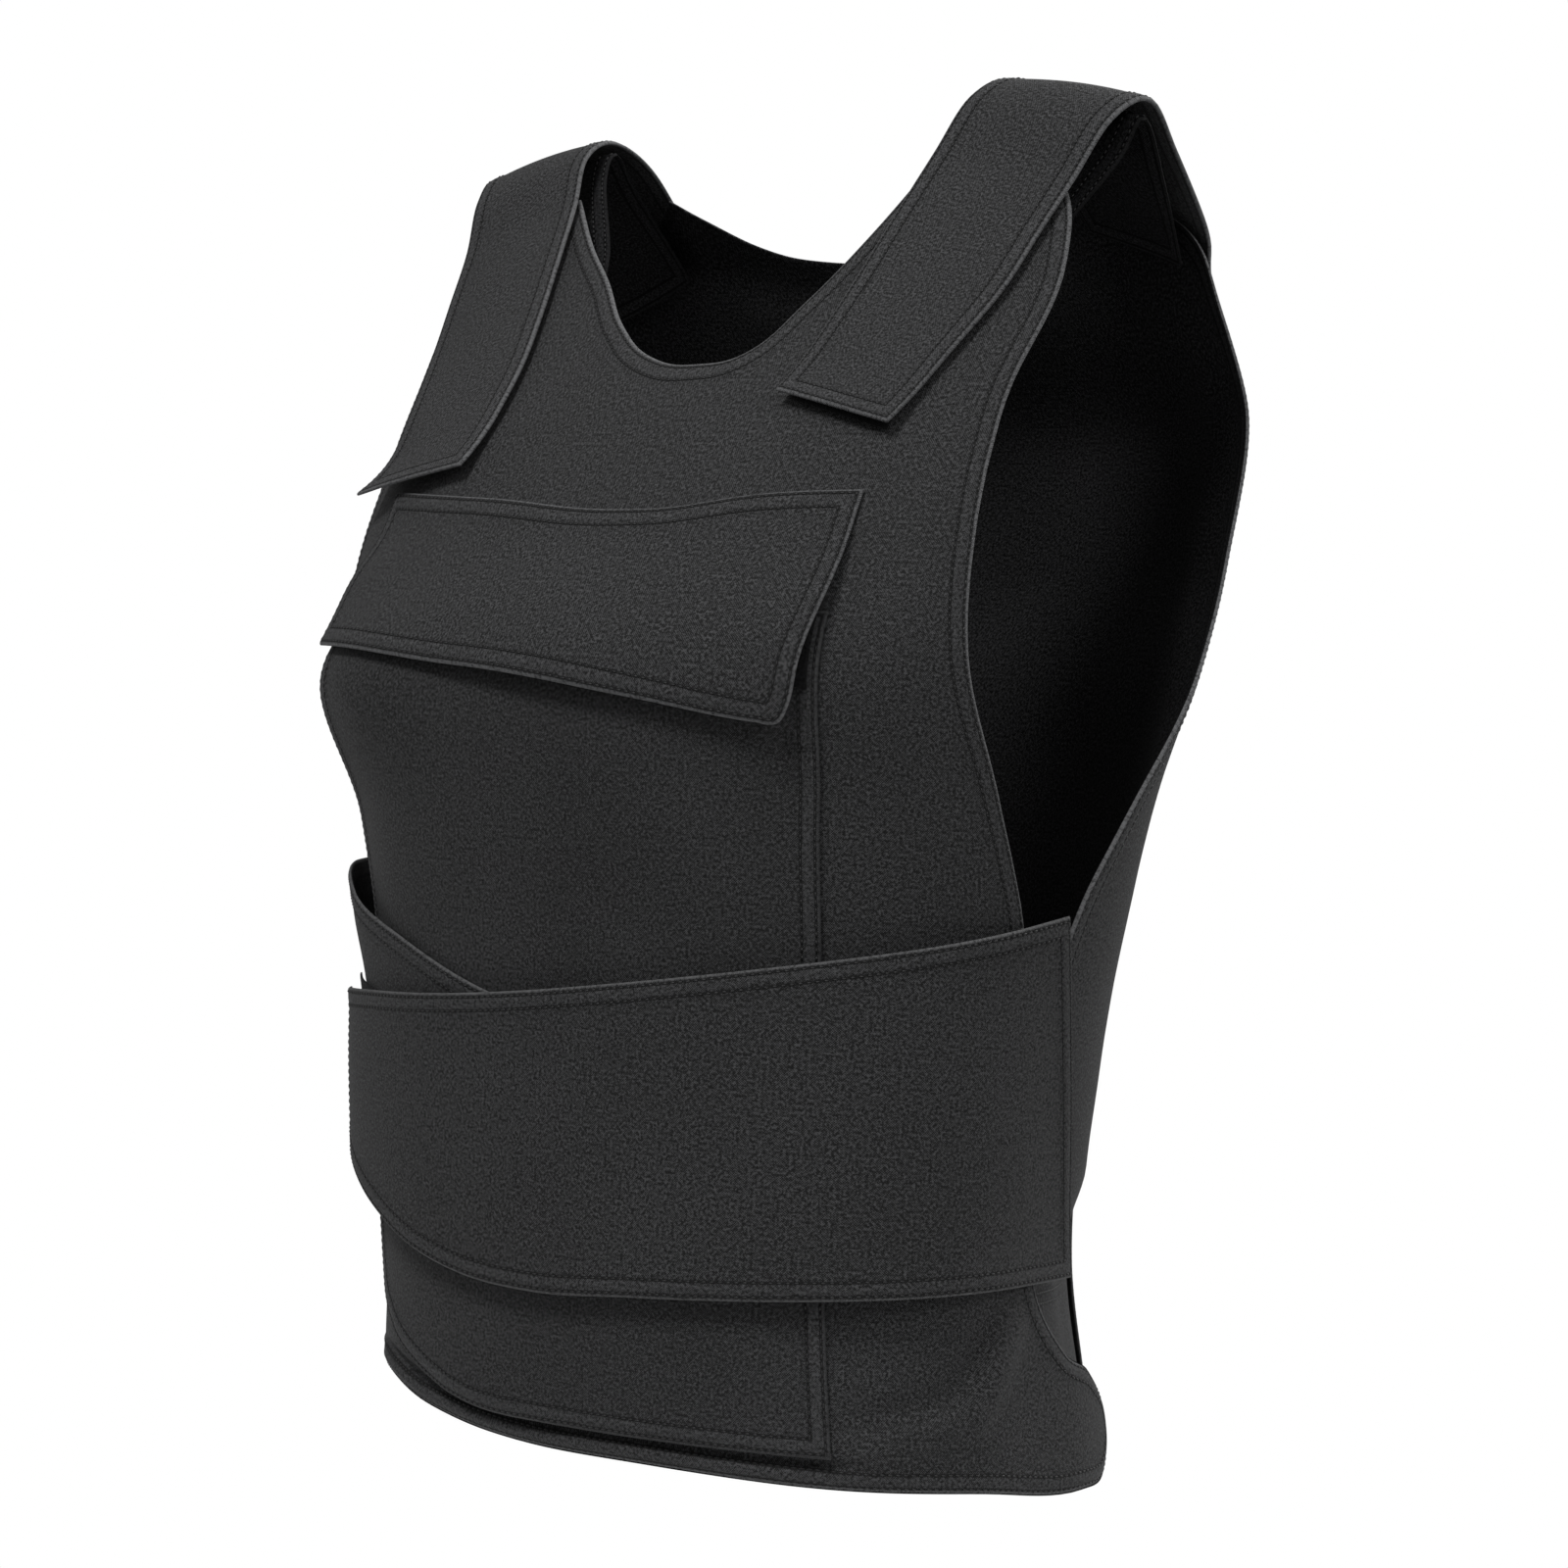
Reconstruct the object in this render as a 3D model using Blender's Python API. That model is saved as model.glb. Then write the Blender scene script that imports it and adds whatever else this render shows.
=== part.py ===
# Stab vest, worn shape with nobody in it. Metres, +Z up, the wearer faces -Y,
# the wearer's left is +X. The origin is the seat of the straps on the shoulders.
import math

import bmesh
import bpy
from mathutils import Vector

for existing in list(bpy.data.objects):
    bpy.data.objects.remove(existing)
vest = bpy.data.collections.new("stab_vest")
bpy.context.scene.collection.children.link(vest)

# Outer face of the vest as level cuts through the torso.
# Columns: height, half width, y of the widest line, y of the front, y of the back,
# squareness of the front, squareness of the back.
TORSO = [
    (-0.030, 0.203, 0.015, -0.004, 0.045, 2.6, 2.6),
    (-0.060, 0.203, 0.012, -0.024, 0.085, 2.6, 2.6),
    (-0.100, 0.201, 0.008, -0.056, 0.110, 2.4, 2.6),
    (-0.150, 0.203, 0.004, -0.100, 0.140, 2.3, 2.7),
    (-0.210, 0.199, 0.000, -0.143, 0.130, 2.3, 2.5),
    (-0.260, 0.191, -0.006, -0.168, 0.104, 2.3, 2.5),
    (-0.310, 0.176, -0.014, -0.166, 0.096, 2.3, 2.4),
    (-0.360, 0.166, -0.024, -0.158, 0.086, 2.3, 2.4),
    (-0.420, 0.158, -0.033, -0.155, 0.076, 2.4, 2.4),
    (-0.500, 0.151, -0.039, -0.155, 0.071, 2.4, 2.4),
    (-0.560, 0.156, -0.038, -0.152, 0.080, 2.4, 2.4),
    (-0.620, 0.160, -0.036, -0.145, 0.084, 2.4, 2.4),
]
RING_STEPS = 160

# The waist is drawn in at the wearer's right, where the belts close. Distance round and
# height of the middle of this dent, its half width and half height, and its depth.
WAIST_DENT = (-0.155, -0.335, 0.045, 0.070, 0.0040)

# Thicknesses and the air left between layers
PANEL_THICK = 0.007
CLOTH_THICK = 0.0022
STRAP_THICK = 0.0026
LINER_THICK = 0.0016
PATCH_THICK = 0.0010
LAYER_GAP = 0.0004
EDGE_SLACK = 0.0007

# Distance from the outer face of the panels to the inner face of each layer
POCKET_LIFT = LAYER_GAP
POCKET_PATCH_LIFT = POCKET_LIFT + CLOTH_THICK + LAYER_GAP
UNDER_BELT_LIFT = POCKET_LIFT + CLOTH_THICK + LAYER_GAP + EDGE_SLACK
BELT_PATCH_LIFT = UNDER_BELT_LIFT + CLOTH_THICK + LAYER_GAP
OVER_BELT_LIFT = BELT_PATCH_LIFT + PATCH_THICK + LAYER_GAP + EDGE_SLACK
STRAP_PATCH_LIFT = LAYER_GAP
STRAP_LIFT = STRAP_PATCH_LIFT + PATCH_THICK + 2 * LAYER_GAP
STRAP_BACK_LIFT = LAYER_GAP + 2 * EDGE_SLACK
LINER_LIFT = -(PANEL_THICK + LAYER_GAP + 2 * EDGE_SLACK + LINER_THICK)

# Cells of the cloth: spacing across and down
CELL_ACROSS = 0.020
CELL_DOWN = 0.024

# Outlines. Columns: distance round the body from the centre line (the wearer's left
# is positive), height, and whether the outline bends smoothly (1) or turns a corner (0).
FRONT_NECK = [
    (-0.105, -0.040, 0), (-0.086, -0.062, 1), (-0.062, -0.083, 1), (-0.036, -0.107, 1), (-0.005, -0.125, 1),
    (0.020, -0.130, 1), (0.046, -0.126, 1), (0.060, -0.106, 1), (0.074, -0.080, 1), (0.092, -0.044, 0),
]
SHOULDER_TOP = [(0.125, -0.046, 1), (0.155, -0.060, 1)]
ARMHOLE = [(0.170, -0.095, 1), (0.170, -0.160, 1), (0.208, -0.350, 1), (0.216, -0.440, 1)]
LOBE = [
    (0.221, -0.498, 1), (0.238, -0.528, 1), (0.262, -0.539, 1), (0.282, -0.560, 1), (0.272, -0.578, 1),
    (0.242, -0.583, 1),
]
HEM_LINE = [
    (0.178, -0.577, 1), (0.120, -0.573, 1), (0.050, -0.567, 1), (-0.020, -0.562, 1), (-0.075, -0.553, 1),
    (-0.120, -0.543, 1), (-0.180, -0.537, 1),
]
# The lobe at the wearer's right sits higher, its lower edge more than its upper one
LOBE_UPPER_RISE = 0.016
LOBE_LOWER_RISE = 0.031


def mirrored(outline, rise=0.0):
    """The same rows on the other side of the centre line, run backwards."""
    return [(-across, height + rise, smooth) for across, height, smooth in reversed(outline)]


FRONT_PANEL = (FRONT_NECK + SHOULDER_TOP + ARMHOLE + LOBE + HEM_LINE + mirrored(LOBE[3:], LOBE_LOWER_RISE)
               + mirrored(LOBE[:3], LOBE_UPPER_RISE) + mirrored(ARMHOLE) + mirrored(SHOULDER_TOP))
FRONT_POCKET = [
    (-0.128, -0.236, 0), (0.130, -0.238, 0), (0.130, -0.285, 1), (0.123, -0.360, 1), (0.121, -0.480, 1),
    (0.122, -0.561, 0), (0.065, -0.557, 1), (0.000, -0.553, 1), (-0.045, -0.548, 1), (-0.082, -0.536, 1),
    (-0.108, -0.521, 1), (-0.122, -0.505, 1), (-0.123, -0.400, 1),
]
FRONT_FLAP = [
    (-0.132, -0.180, 0), (-0.060, -0.185, 1), (0.038, -0.194, 1), (0.090, -0.191, 1), (0.128, -0.192, 0),
    (0.129, -0.225, 1), (0.124, -0.257, 1), (0.118, -0.277, 1), (0.112, -0.280, 1), (0.060, -0.270, 1),
    (0.000, -0.260, 1), (-0.080, -0.250, 1), (-0.133, -0.244, 0),
]
FLAP_PATCH = [
    (-0.120, -0.2385, 0), (0.1265, -0.2405, 0), (0.1265, -0.268, 0), (0.100, -0.262, 1), (0.000, -0.255, 1),
    (-0.120, -0.2445, 0),
]
# The same columns, measured from the centre line of the back
BACK_PANEL = [
    (0.000, -0.066, 1), (0.040, -0.063, 1), (0.070, -0.055, 1), (0.090, -0.042, 1), (0.100, -0.034, 0),
    (0.138, -0.056, 1), (0.168, -0.076, 1), (0.179, -0.096, 1), (0.185, -0.140, 1), (0.184, -0.190, 1),
    (0.190, -0.235, 1), (0.202, -0.275, 1), (0.220, -0.325, 1), (0.229, -0.356, 1), (0.229, -0.395, 1),
    (0.218, -0.440, 1), (0.206, -0.500, 1), (0.200, -0.530, 1), (0.182, -0.548, 1), (0.120, -0.560, 1),
    (0.000, -0.566, 1),
]
BACK_POCKET = [
    (-0.125, -0.236, 0), (0.125, -0.236, 0), (0.122, -0.380, 1), (0.120, -0.470, 1), (0.120, -0.548, 0),
    (0.060, -0.554, 1), (0.000, -0.556, 1), (-0.060, -0.554, 1), (-0.120, -0.548, 0), (-0.120, -0.470, 1),
    (-0.122, -0.380, 1),
]
BACK_FLAP = [
    (-0.130, -0.186, 0), (0.000, -0.188, 1), (0.130, -0.186, 0), (0.128, -0.240, 1), (0.122, -0.270, 1),
    (0.116, -0.274, 1), (0.060, -0.270, 1), (-0.060, -0.270, 1), (-0.116, -0.274, 1), (-0.122, -0.270, 1),
    (-0.128, -0.240, 1),
]
# Measured from the front centre line again
# The over belt's edges are level at the front. The top climbs to the wearer's left side,
# and the bottom climbs to the belt's end.
BELT_TOP = -0.384
BELT_BOTTOM = -0.500
TOP_CLIMB = 0.031
TOP_CLIMB_START = -0.060
TOP_CLIMB_RUN = 0.306
BOTTOM_CLIMB = 0.034
BOTTOM_CLIMB_RUN = 0.120
BELT_END = -0.155
BELT_END_LIFT = 0.0035
BELT_END_REACH = (-0.095, -0.060)
BELT_SIDE_TOP = 0.234
BELT_SIDE_BOTTOM = 0.250
BELT_EDGE_STEPS = 8


def belt_top(s):
    return BELT_TOP + TOP_CLIMB * max((s - TOP_CLIMB_START) / TOP_CLIMB_RUN, 0.0) ** 1.6


def belt_bottom(s):
    return BELT_BOTTOM + BOTTOM_CLIMB * max(-s / BOTTOM_CLIMB_RUN, 0.0) ** 1.8


def belt_edge(level, side):
    """One edge of the over belt, from its free end to the side where it is sewn on."""
    spread = [BELT_END + (side - BELT_END) * step / BELT_EDGE_STEPS for step in range(BELT_EDGE_STEPS + 1)]
    return [(s, level(s), 0 if s in (spread[0], spread[-1]) else 1) for s in spread]


OVER_BELT = belt_edge(belt_top, BELT_SIDE_TOP) + belt_edge(belt_bottom, BELT_SIDE_BOTTOM)[::-1]
UNDER_BELT = [
    (0.060, -0.402, 0), (0.062, -0.466, 0), (0.000, -0.464, 1), (-0.090, -0.454, 1), (-0.170, -0.450, 1),
    (-0.248, -0.460, 0), (-0.245, -0.420, 1), (-0.244, -0.370, 1), (-0.246, -0.325, 0), (-0.200, -0.328, 1),
    (-0.150, -0.334, 1), (-0.110, -0.350, 1), (-0.070, -0.366, 1), (-0.022, -0.384, 1), (0.020, -0.395, 1),
]
BELT_PATCH = [(-0.146, -0.378, 0), (-0.030, -0.394, 0), (-0.030, -0.452, 0), (-0.146, -0.444, 0)]
STRAP_PATCH_LEFT = [(0.079, -0.115, 0), (0.134, -0.133, 0), (0.129, -0.169, 0), (0.078, -0.154, 0)]
STRAP_PATCH_RIGHT = [(-0.092, -0.110, 0), (-0.152, -0.114, 0), (-0.157, -0.160, 0), (-0.091, -0.158, 0)]

# Shoulder straps from the back to the front. Columns: where the row lies, then for the
# inner edge and the outer edge either distance round and height (front, back)
# or x, y, z (over the ridge of the shoulder, wearer's left).
STRAP_LEFT = [
    ("back", (0.112, -0.090), (0.166, -0.104)), ("back", (0.110, -0.072), (0.169, -0.089)),
    ("back", (0.109, -0.055), (0.172, -0.074)), ("free", (0.1075, 0.045, -0.0245), (0.172, 0.043, -0.045)),
    ("free", (0.1060, 0.020, -0.012), (0.179, 0.014, -0.0295)),
    ("free", (0.1010, -0.001, -0.021), (0.174, -0.006, -0.039)),
    ("front", (0.093, -0.046), (0.164, -0.064)), ("front", (0.087, -0.072), (0.157, -0.086)),
    ("front", (0.083, -0.098), (0.151, -0.111)), ("front", (0.080, -0.124), (0.140, -0.139)),
    ("front", (0.076, -0.151), (0.129, -0.166)),
]
STRAP_RIGHT = [
    ("back", (-0.110, -0.088), (-0.170, -0.104)), ("back", (-0.108, -0.070), (-0.172, -0.089)),
    ("back", (-0.107, -0.053), (-0.173, -0.072)),
    ("free", (-0.1065, 0.045, -0.0225), (-0.173, 0.043, -0.040)),
    ("free", (-0.1080, 0.020, -0.0125), (-0.174, 0.014, -0.0245)),
    ("free", (-0.1060, -0.001, -0.022), (-0.167, -0.006, -0.037)),
    ("front", (-0.101, -0.046), (-0.163, -0.062)), ("front", (-0.095, -0.072), (-0.161, -0.086)),
    ("front", (-0.087, -0.098), (-0.159, -0.107)), ("front", (-0.079, -0.123), (-0.153, -0.131)),
    ("front", (-0.075, -0.148), (-0.151, -0.155)), ("front", (-0.078, -0.171), (-0.154, -0.179)),
]
# Inner layer under each strap: the same columns. It ends inside the panels.
LINER_LEFT = [
    ("back", (0.113, -0.078), (0.166, -0.100)), ("back", (0.112, -0.057), (0.168, -0.081)),
    ("free", (0.109, 0.034, -0.036), (0.173, 0.032, -0.057)),
    ("free", (0.107, 0.019, -0.0165), (0.177, 0.013, -0.036)),
    ("free", (0.102, 0.008, -0.032), (0.172, 0.003, -0.053)),
    ("front", (0.096, -0.060), (0.160, -0.076)), ("front", (0.096, -0.078), (0.155, -0.090)),
]
LINER_RIGHT = [
    ("back", (-0.112, -0.078), (-0.166, -0.100)), ("back", (-0.110, -0.057), (-0.168, -0.080)),
    ("free", (-0.1065, 0.034, -0.034), (-0.170, 0.032, -0.053)),
    ("free", (-0.1060, 0.019, -0.0175), (-0.170, 0.013, -0.0300)),
    ("free", (-0.1030, 0.008, -0.032), (-0.168, 0.003, -0.048)),
    ("front", (-0.082, -0.062), (-0.158, -0.076)), ("front", (-0.072, -0.088), (-0.150, -0.098)),
]
STRAP_CELLS_ACROSS = 4
STRAP_CROWN = 0.0025

# A flap lies flat down to its seam, then stands off towards the free edge
FLAP_SEAM = -0.192
FLAP_STAND = 0.0085
FLAP_STAND_RAMP = 0.075

# Lower side corners: the front panel's lobes flare out, the back panel's corners tuck in.
# Distance round and height where each begins, then how far it takes to reach its full lift.
LOBE_FLARE = 0.0035
LOBE_START = (0.20, -0.500)
LOBE_RAMP = (0.05, 0.030)
CORNER_TUCK = 0.0095
TUCK_START = (0.11, -0.458)
TUCK_RAMP = (0.05, 0.038)

# The belts leave the side of the back panel here and take this far to rise over the front layers
BELT_ROOT = 0.236
BELT_RISE = 0.10

# The under belt's upper edge bridges the waist at the wearer's right side: how far it stands
# off, between which distances round, and the height where it starts and the run to full
BRIDGE = 0.005
BRIDGE_SIDE = (-0.075, -0.130)
BRIDGE_FOOT = -0.395
BRIDGE_RUN = 0.045

# Colours
FABRIC_GREY = (0.030, 0.031, 0.034, 1.0)
STRAP_GREY = (0.034, 0.035, 0.038, 1.0)
LINING_BLACK = (0.010, 0.010, 0.011, 1.0)
HOOK_BLACK = (0.006, 0.006, 0.006, 1.0)


def ease(value):
    value = min(max(value, 0.0), 1.0)
    return value * value * (3.0 - 2.0 * value)


def section(z):
    """The columns of TORSO at any height, blended smoothly between rows."""
    if z >= TORSO[0][0]:
        return TORSO[0][1:]
    if z <= TORSO[-1][0]:
        return TORSO[-1][1:]
    low = 0
    while not TORSO[low][0] >= z >= TORSO[low + 1][0]:
        low += 1
    above, below = TORSO[low], TORSO[low + 1]
    before = TORSO[max(low - 1, 0)]
    after = TORSO[min(low + 2, len(TORSO) - 1)]
    step = below[0] - above[0]
    t = (z - above[0]) / step
    values = []
    for column in range(1, 7):
        slope_a = (below[column] - before[column]) / (below[0] - before[0]) * step
        slope_b = (after[column] - above[column]) / (after[0] - above[0]) * step
        values.append((2 * t**3 - 3 * t**2 + 1) * above[column] + (t**3 - 2 * t**2 + t) * slope_a
                      + (-2 * t**3 + 3 * t**2) * below[column] + (t**3 - t**2) * slope_b)
    return values


RINGS = {}


def ring(z):
    """Half of the level cut, from the front centre to the back centre, with its lengths."""
    key = round(z, 6)
    if key not in RINGS:
        half, wide_y, front_y, back_y, square_front, square_back = section(z)
        points = []
        for step in range(RING_STEPS + 1):
            angle = math.pi * step / RING_STEPS
            ahead = math.cos(angle)
            power = 2.0 / (square_front if ahead > 0 else square_back)
            depth = (wide_y - front_y) if ahead > 0 else (wide_y - back_y)
            points.append((half * abs(math.sin(angle)) ** power, wide_y - depth * abs(ahead) ** power))
        lengths = [0.0]
        for (x0, y0), (x1, y1) in zip(points, points[1:]):
            lengths.append(lengths[-1] + math.hypot(x1 - x0, y1 - y0))
        RINGS[key] = (points, lengths)
    return RINGS[key]


def on_skin(s, z, from_back):
    points, lengths = ring(z)
    along = lengths[-1] - abs(s) if from_back else abs(s)
    along = min(max(along, 0.0), lengths[-1])
    low = 0
    high = len(lengths) - 1
    while high - low > 1:
        middle = (low + high) // 2
        if lengths[middle] <= along:
            low = middle
        else:
            high = middle
    share = (along - lengths[low]) / (lengths[high] - lengths[low])
    x = points[low][0] + (points[high][0] - points[low][0]) * share
    y = points[low][1] + (points[high][1] - points[low][1]) * share
    return Vector((math.copysign(x, s) if s else x, y, z))


def waist_dent(s, z):
    middle_s, middle_z, half_wide, half_high, depth = WAIST_DENT
    return depth * math.exp(-((s - middle_s) / half_wide) ** 2 - ((z - middle_z) / half_high) ** 2)


def on_body(s, z, lift, from_back=False):
    """Point on the outer face of the vest, moved off it along its own normal."""
    reach = 0.004
    across = on_skin(s + reach, z, from_back) - on_skin(s - reach, z, from_back)
    upward = on_skin(s, z + reach, from_back) - on_skin(s, z - reach, from_back)
    normal = upward.cross(across) if from_back else across.cross(upward)
    dent = 0.0 if from_back else waist_dent(s, z)
    return on_skin(s, z, from_back) + normal.normalized() * (lift - dent)


def new_material(name, colour, roughness):
    material = bpy.data.materials.new(name)
    material.use_nodes = True
    shader = material.node_tree.nodes["Principled BSDF"]
    shader.inputs["Base Color"].default_value = colour
    shader.inputs["Roughness"].default_value = roughness
    material.diffuse_color = colour
    return material


def finish_piece(name, bm, colour, roughness=0.85):
    bmesh.ops.recalc_face_normals(bm, faces=bm.faces)
    if bm.calc_volume(signed=True) < 0:
        bmesh.ops.reverse_faces(bm, faces=bm.faces)
    mesh = bpy.data.meshes.new(name)
    bm.to_mesh(mesh)
    bm.free()
    mesh.materials.append(new_material(name + "_material", colour, roughness))
    piece = bpy.data.objects.new(name, mesh)
    vest.objects.link(piece)
    return piece


def cut_into_cells(bm, low, high, spacing, axis):
    direction = Vector((1, 0, 0)) if axis == 0 else Vector((0, 1, 0))
    for index in range(math.floor(low / spacing), math.ceil(high / spacing) + 1):
        geometry = bm.verts[:] + bm.edges[:] + bm.faces[:]
        bmesh.ops.bisect_plane(bm, geom=geometry, dist=0.00001, plane_co=direction * (index * spacing),
                               plane_no=direction)


def flat_cloth(outline, thick):
    """The pattern as a flat slab: across is x, height is y, the thickness runs 0 to thick in z."""
    curve = bpy.data.curves.new("pattern", "CURVE")
    curve.dimensions = "2D"
    curve.fill_mode = "BOTH"
    curve.extrude = thick / 2
    curve.resolution_u = 3
    spline = curve.splines.new("BEZIER")
    spline.bezier_points.add(len(outline) - 1)
    spline.use_cyclic_u = True
    for point, (across, height, smooth) in zip(spline.bezier_points, outline):
        point.co = (across, height, 0.0)
        kind = "AUTO" if smooth else "VECTOR"
        point.handle_left_type = kind
        point.handle_right_type = kind
    holder = bpy.data.objects.new("pattern", curve)
    mesh = bpy.data.meshes.new_from_object(holder)
    bm = bmesh.new()
    bm.from_mesh(mesh)
    bpy.data.objects.remove(holder)
    bpy.data.curves.remove(curve)
    bpy.data.meshes.remove(mesh)
    bmesh.ops.remove_doubles(bm, verts=bm.verts, dist=0.00005)
    bmesh.ops.dissolve_limit(bm, angle_limit=math.radians(0.5), verts=bm.verts, edges=bm.edges)
    bmesh.ops.translate(bm, verts=bm.verts, vec=(0, 0, thick / 2))
    return bm


def cloth_piece(name, outline, thick, place, colour):
    """Cut a pattern, divide it into cells, bend it into place and keep it closed."""
    bm = flat_cloth(outline, thick)
    acrosses = [row[0] for row in outline]
    heights = [row[1] for row in outline]
    cut_into_cells(bm, min(acrosses), max(acrosses), CELL_ACROSS, 0)
    cut_into_cells(bm, min(heights), max(heights), CELL_DOWN, 1)
    bmesh.ops.triangulate(bm, faces=bm.faces)
    for vert in bm.verts:
        vert.co = place(vert.co.x, vert.co.y, vert.co.z)
    return finish_piece(name, bm, colour)


def both_halves(outline):
    """Close a half outline that starts and ends on the centre line."""
    return outline + mirrored(outline[1:-1])


def strap_rows(rows, lift, layer_lift):
    """Rows of points across the strap: its underside, from the inner edge to the outer edge."""
    result = []
    for where, inner, outer in rows:
        row = []
        for step in range(STRAP_CELLS_ACROSS + 1):
            share = step / STRAP_CELLS_ACROSS
            if where == "free":
                point = Vector(inner).lerp(Vector(outer), share)
                point.z += STRAP_CROWN * 4 * share * (1 - share)
            else:
                s = inner[0] + (outer[0] - inner[0]) * share
                z = inner[1] + (outer[1] - inner[1]) * share
                height = layer_lift if where == "front" else lift
                point = on_body(s, z, height, where == "back")
            row.append(point)
        result.append(row)
    return result


def between_rows(rows, along, column):
    low = min(int(along), len(rows) - 2)
    t = along - low
    before = rows[max(low - 1, 0)][column]
    start, end = rows[low][column], rows[low + 1][column]
    after = rows[min(low + 2, len(rows) - 1)][column]
    return 0.5 * (2 * start + (end - before) * t + (2 * before - 5 * start + 4 * end - after) * t * t
                  + (3 * start - before - 3 * end + after) * t**3)


def strap_piece(name, rows, thick, colour, divisions=2):
    """A band bent along its rows; its underside lies on them."""
    bm = bmesh.new()
    count = (len(rows) - 1) * divisions
    under = []
    for index in range(count + 1):
        along = index / divisions
        under.append([between_rows(rows, along, column) for column in range(STRAP_CELLS_ACROSS + 1)])
    upper = []
    for i, line in enumerate(under):
        ahead = under[min(i + 1, count)]
        behind = under[max(i - 1, 0)]
        row = []
        for j, point in enumerate(line):
            across = line[min(j + 1, STRAP_CELLS_ACROSS)] - line[max(j - 1, 0)]
            normal = across.cross(ahead[j] - behind[j])
            if normal.dot(point - Vector((0, 0, -0.3))) < 0:
                normal = -normal
            row.append(point + normal.normalized() * thick)
        upper.append(row)
    bmesh.ops.create_grid(bm, x_segments=count, y_segments=STRAP_CELLS_ACROSS, size=0.5)
    solid = bmesh.ops.extrude_face_region(bm, geom=bm.faces[:])
    raised = [item for item in solid["geom"] if isinstance(item, bmesh.types.BMVert)]
    bmesh.ops.translate(bm, verts=raised, vec=(0, 0, 1))
    for vert in bm.verts:
        i = round((vert.co.x + 0.5) * count)
        j = round((vert.co.y + 0.5) * STRAP_CELLS_ACROSS)
        vert.co = upper[i][j] if vert.co.z > 0.5 else under[i][j]
    bmesh.ops.triangulate(bm, faces=bm.faces)
    return finish_piece(name, bm, colour)


def corner_share(s, z, start, ramp):
    """How far a point lies into a lower side corner, from 0 to 1."""
    return ease((abs(s) - start[0]) / ramp[0]) * ease((start[1] - z) / ramp[1])


# Front panel, with the lower corner lobes flared away from the back panel
def place_front(s, z, t):
    flare = LOBE_FLARE * corner_share(s, z, LOBE_START, LOBE_RAMP)
    return on_body(s, z, t - PANEL_THICK + flare)


cloth_piece("front_panel", FRONT_PANEL, PANEL_THICK, place_front, FABRIC_GREY)
cloth_piece("front_pocket", FRONT_POCKET, CLOTH_THICK,
            lambda s, z, t: on_body(s, z, t + POCKET_LIFT), FABRIC_GREY)
cloth_piece("flap_patch", FLAP_PATCH, PATCH_THICK,
            lambda s, z, t: on_body(s, z, t + POCKET_PATCH_LIFT), HOOK_BLACK)


# Flaps are sewn down along the top and stand off towards the free edge
def flap_lift(z):
    return LAYER_GAP + FLAP_STAND * ease((FLAP_SEAM - z) / FLAP_STAND_RAMP)


cloth_piece("front_flap", FRONT_FLAP, CLOTH_THICK,
            lambda s, z, t: on_body(s, z, t + flap_lift(z)), FABRIC_GREY)


# Back panel: its lower side corners tuck inside the lobes of the front panel
def place_back(s, z, t):
    tuck = CORNER_TUCK * corner_share(s, z, TUCK_START, TUCK_RAMP)
    return on_body(s, z, t - PANEL_THICK - tuck, True)


cloth_piece("back_panel", both_halves(BACK_PANEL), PANEL_THICK, place_back, FABRIC_GREY)
cloth_piece("back_pocket", BACK_POCKET, CLOTH_THICK,
            lambda s, z, t: on_body(s, z, t + POCKET_LIFT, True), FABRIC_GREY)
cloth_piece("back_flap", BACK_FLAP, CLOTH_THICK,
            lambda s, z, t: on_body(s, z, t + flap_lift(z), True), FABRIC_GREY)


# Belts leave the side of the back panel and rise over the layers at the front
def belt_lift(s, full):
    return LAYER_GAP + (full - LAYER_GAP) * ease((BELT_ROOT - abs(s)) / BELT_RISE)


def bridge(s, z):
    side = ease((s - BRIDGE_SIDE[0]) / (BRIDGE_SIDE[1] - BRIDGE_SIDE[0]))
    return BRIDGE * side * ease((z - BRIDGE_FOOT) / BRIDGE_RUN) * ease((s + BELT_ROOT) / 0.05)


cloth_piece("belt_under", UNDER_BELT, CLOTH_THICK,
            lambda s, z, t: on_body(s, z, t + belt_lift(s, UNDER_BELT_LIFT) + bridge(s, z)), FABRIC_GREY)
cloth_piece("belt_patch", BELT_PATCH, PATCH_THICK,
            lambda s, z, t: on_body(s, z, t + BELT_PATCH_LIFT + bridge(s, z)), HOOK_BLACK)


# The over belt's free end lifts a little
def over_belt_lift(s, z):
    end = BELT_END_LIFT * ease((s - BELT_END_REACH[0]) / BELT_END_REACH[1])
    return belt_lift(max(s, 0), OVER_BELT_LIFT) + bridge(s, z) + end


cloth_piece("belt_over", OVER_BELT, CLOTH_THICK,
            lambda s, z, t: on_body(s, z, t + over_belt_lift(s, z)), FABRIC_GREY)

# Shoulder straps, the patches they close on, and the inner layer under each strap
for name, outline in (("strap_patch_left", STRAP_PATCH_LEFT), ("strap_patch_right", STRAP_PATCH_RIGHT)):
    cloth_piece(name, outline, PATCH_THICK, lambda s, z, t: on_body(s, z, t + STRAP_PATCH_LIFT), HOOK_BLACK)
for name, rows in (("strap_left", STRAP_LEFT), ("strap_right", STRAP_RIGHT)):
    strap_piece(name, strap_rows(rows, STRAP_BACK_LIFT, STRAP_LIFT), STRAP_THICK, STRAP_GREY)
for name, rows in (("liner_left", LINER_LEFT), ("liner_right", LINER_RIGHT)):
    strap_piece(name, strap_rows(rows, LINER_LIFT, LINER_LIFT), LINER_THICK, LINING_BLACK)
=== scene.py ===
# Stab vest of dark twill, held in its worn shape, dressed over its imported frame.
# Metres, +Z up; the wearer faces -Y and the wearer's left is +X.
import math
from bisect import bisect_right

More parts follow.
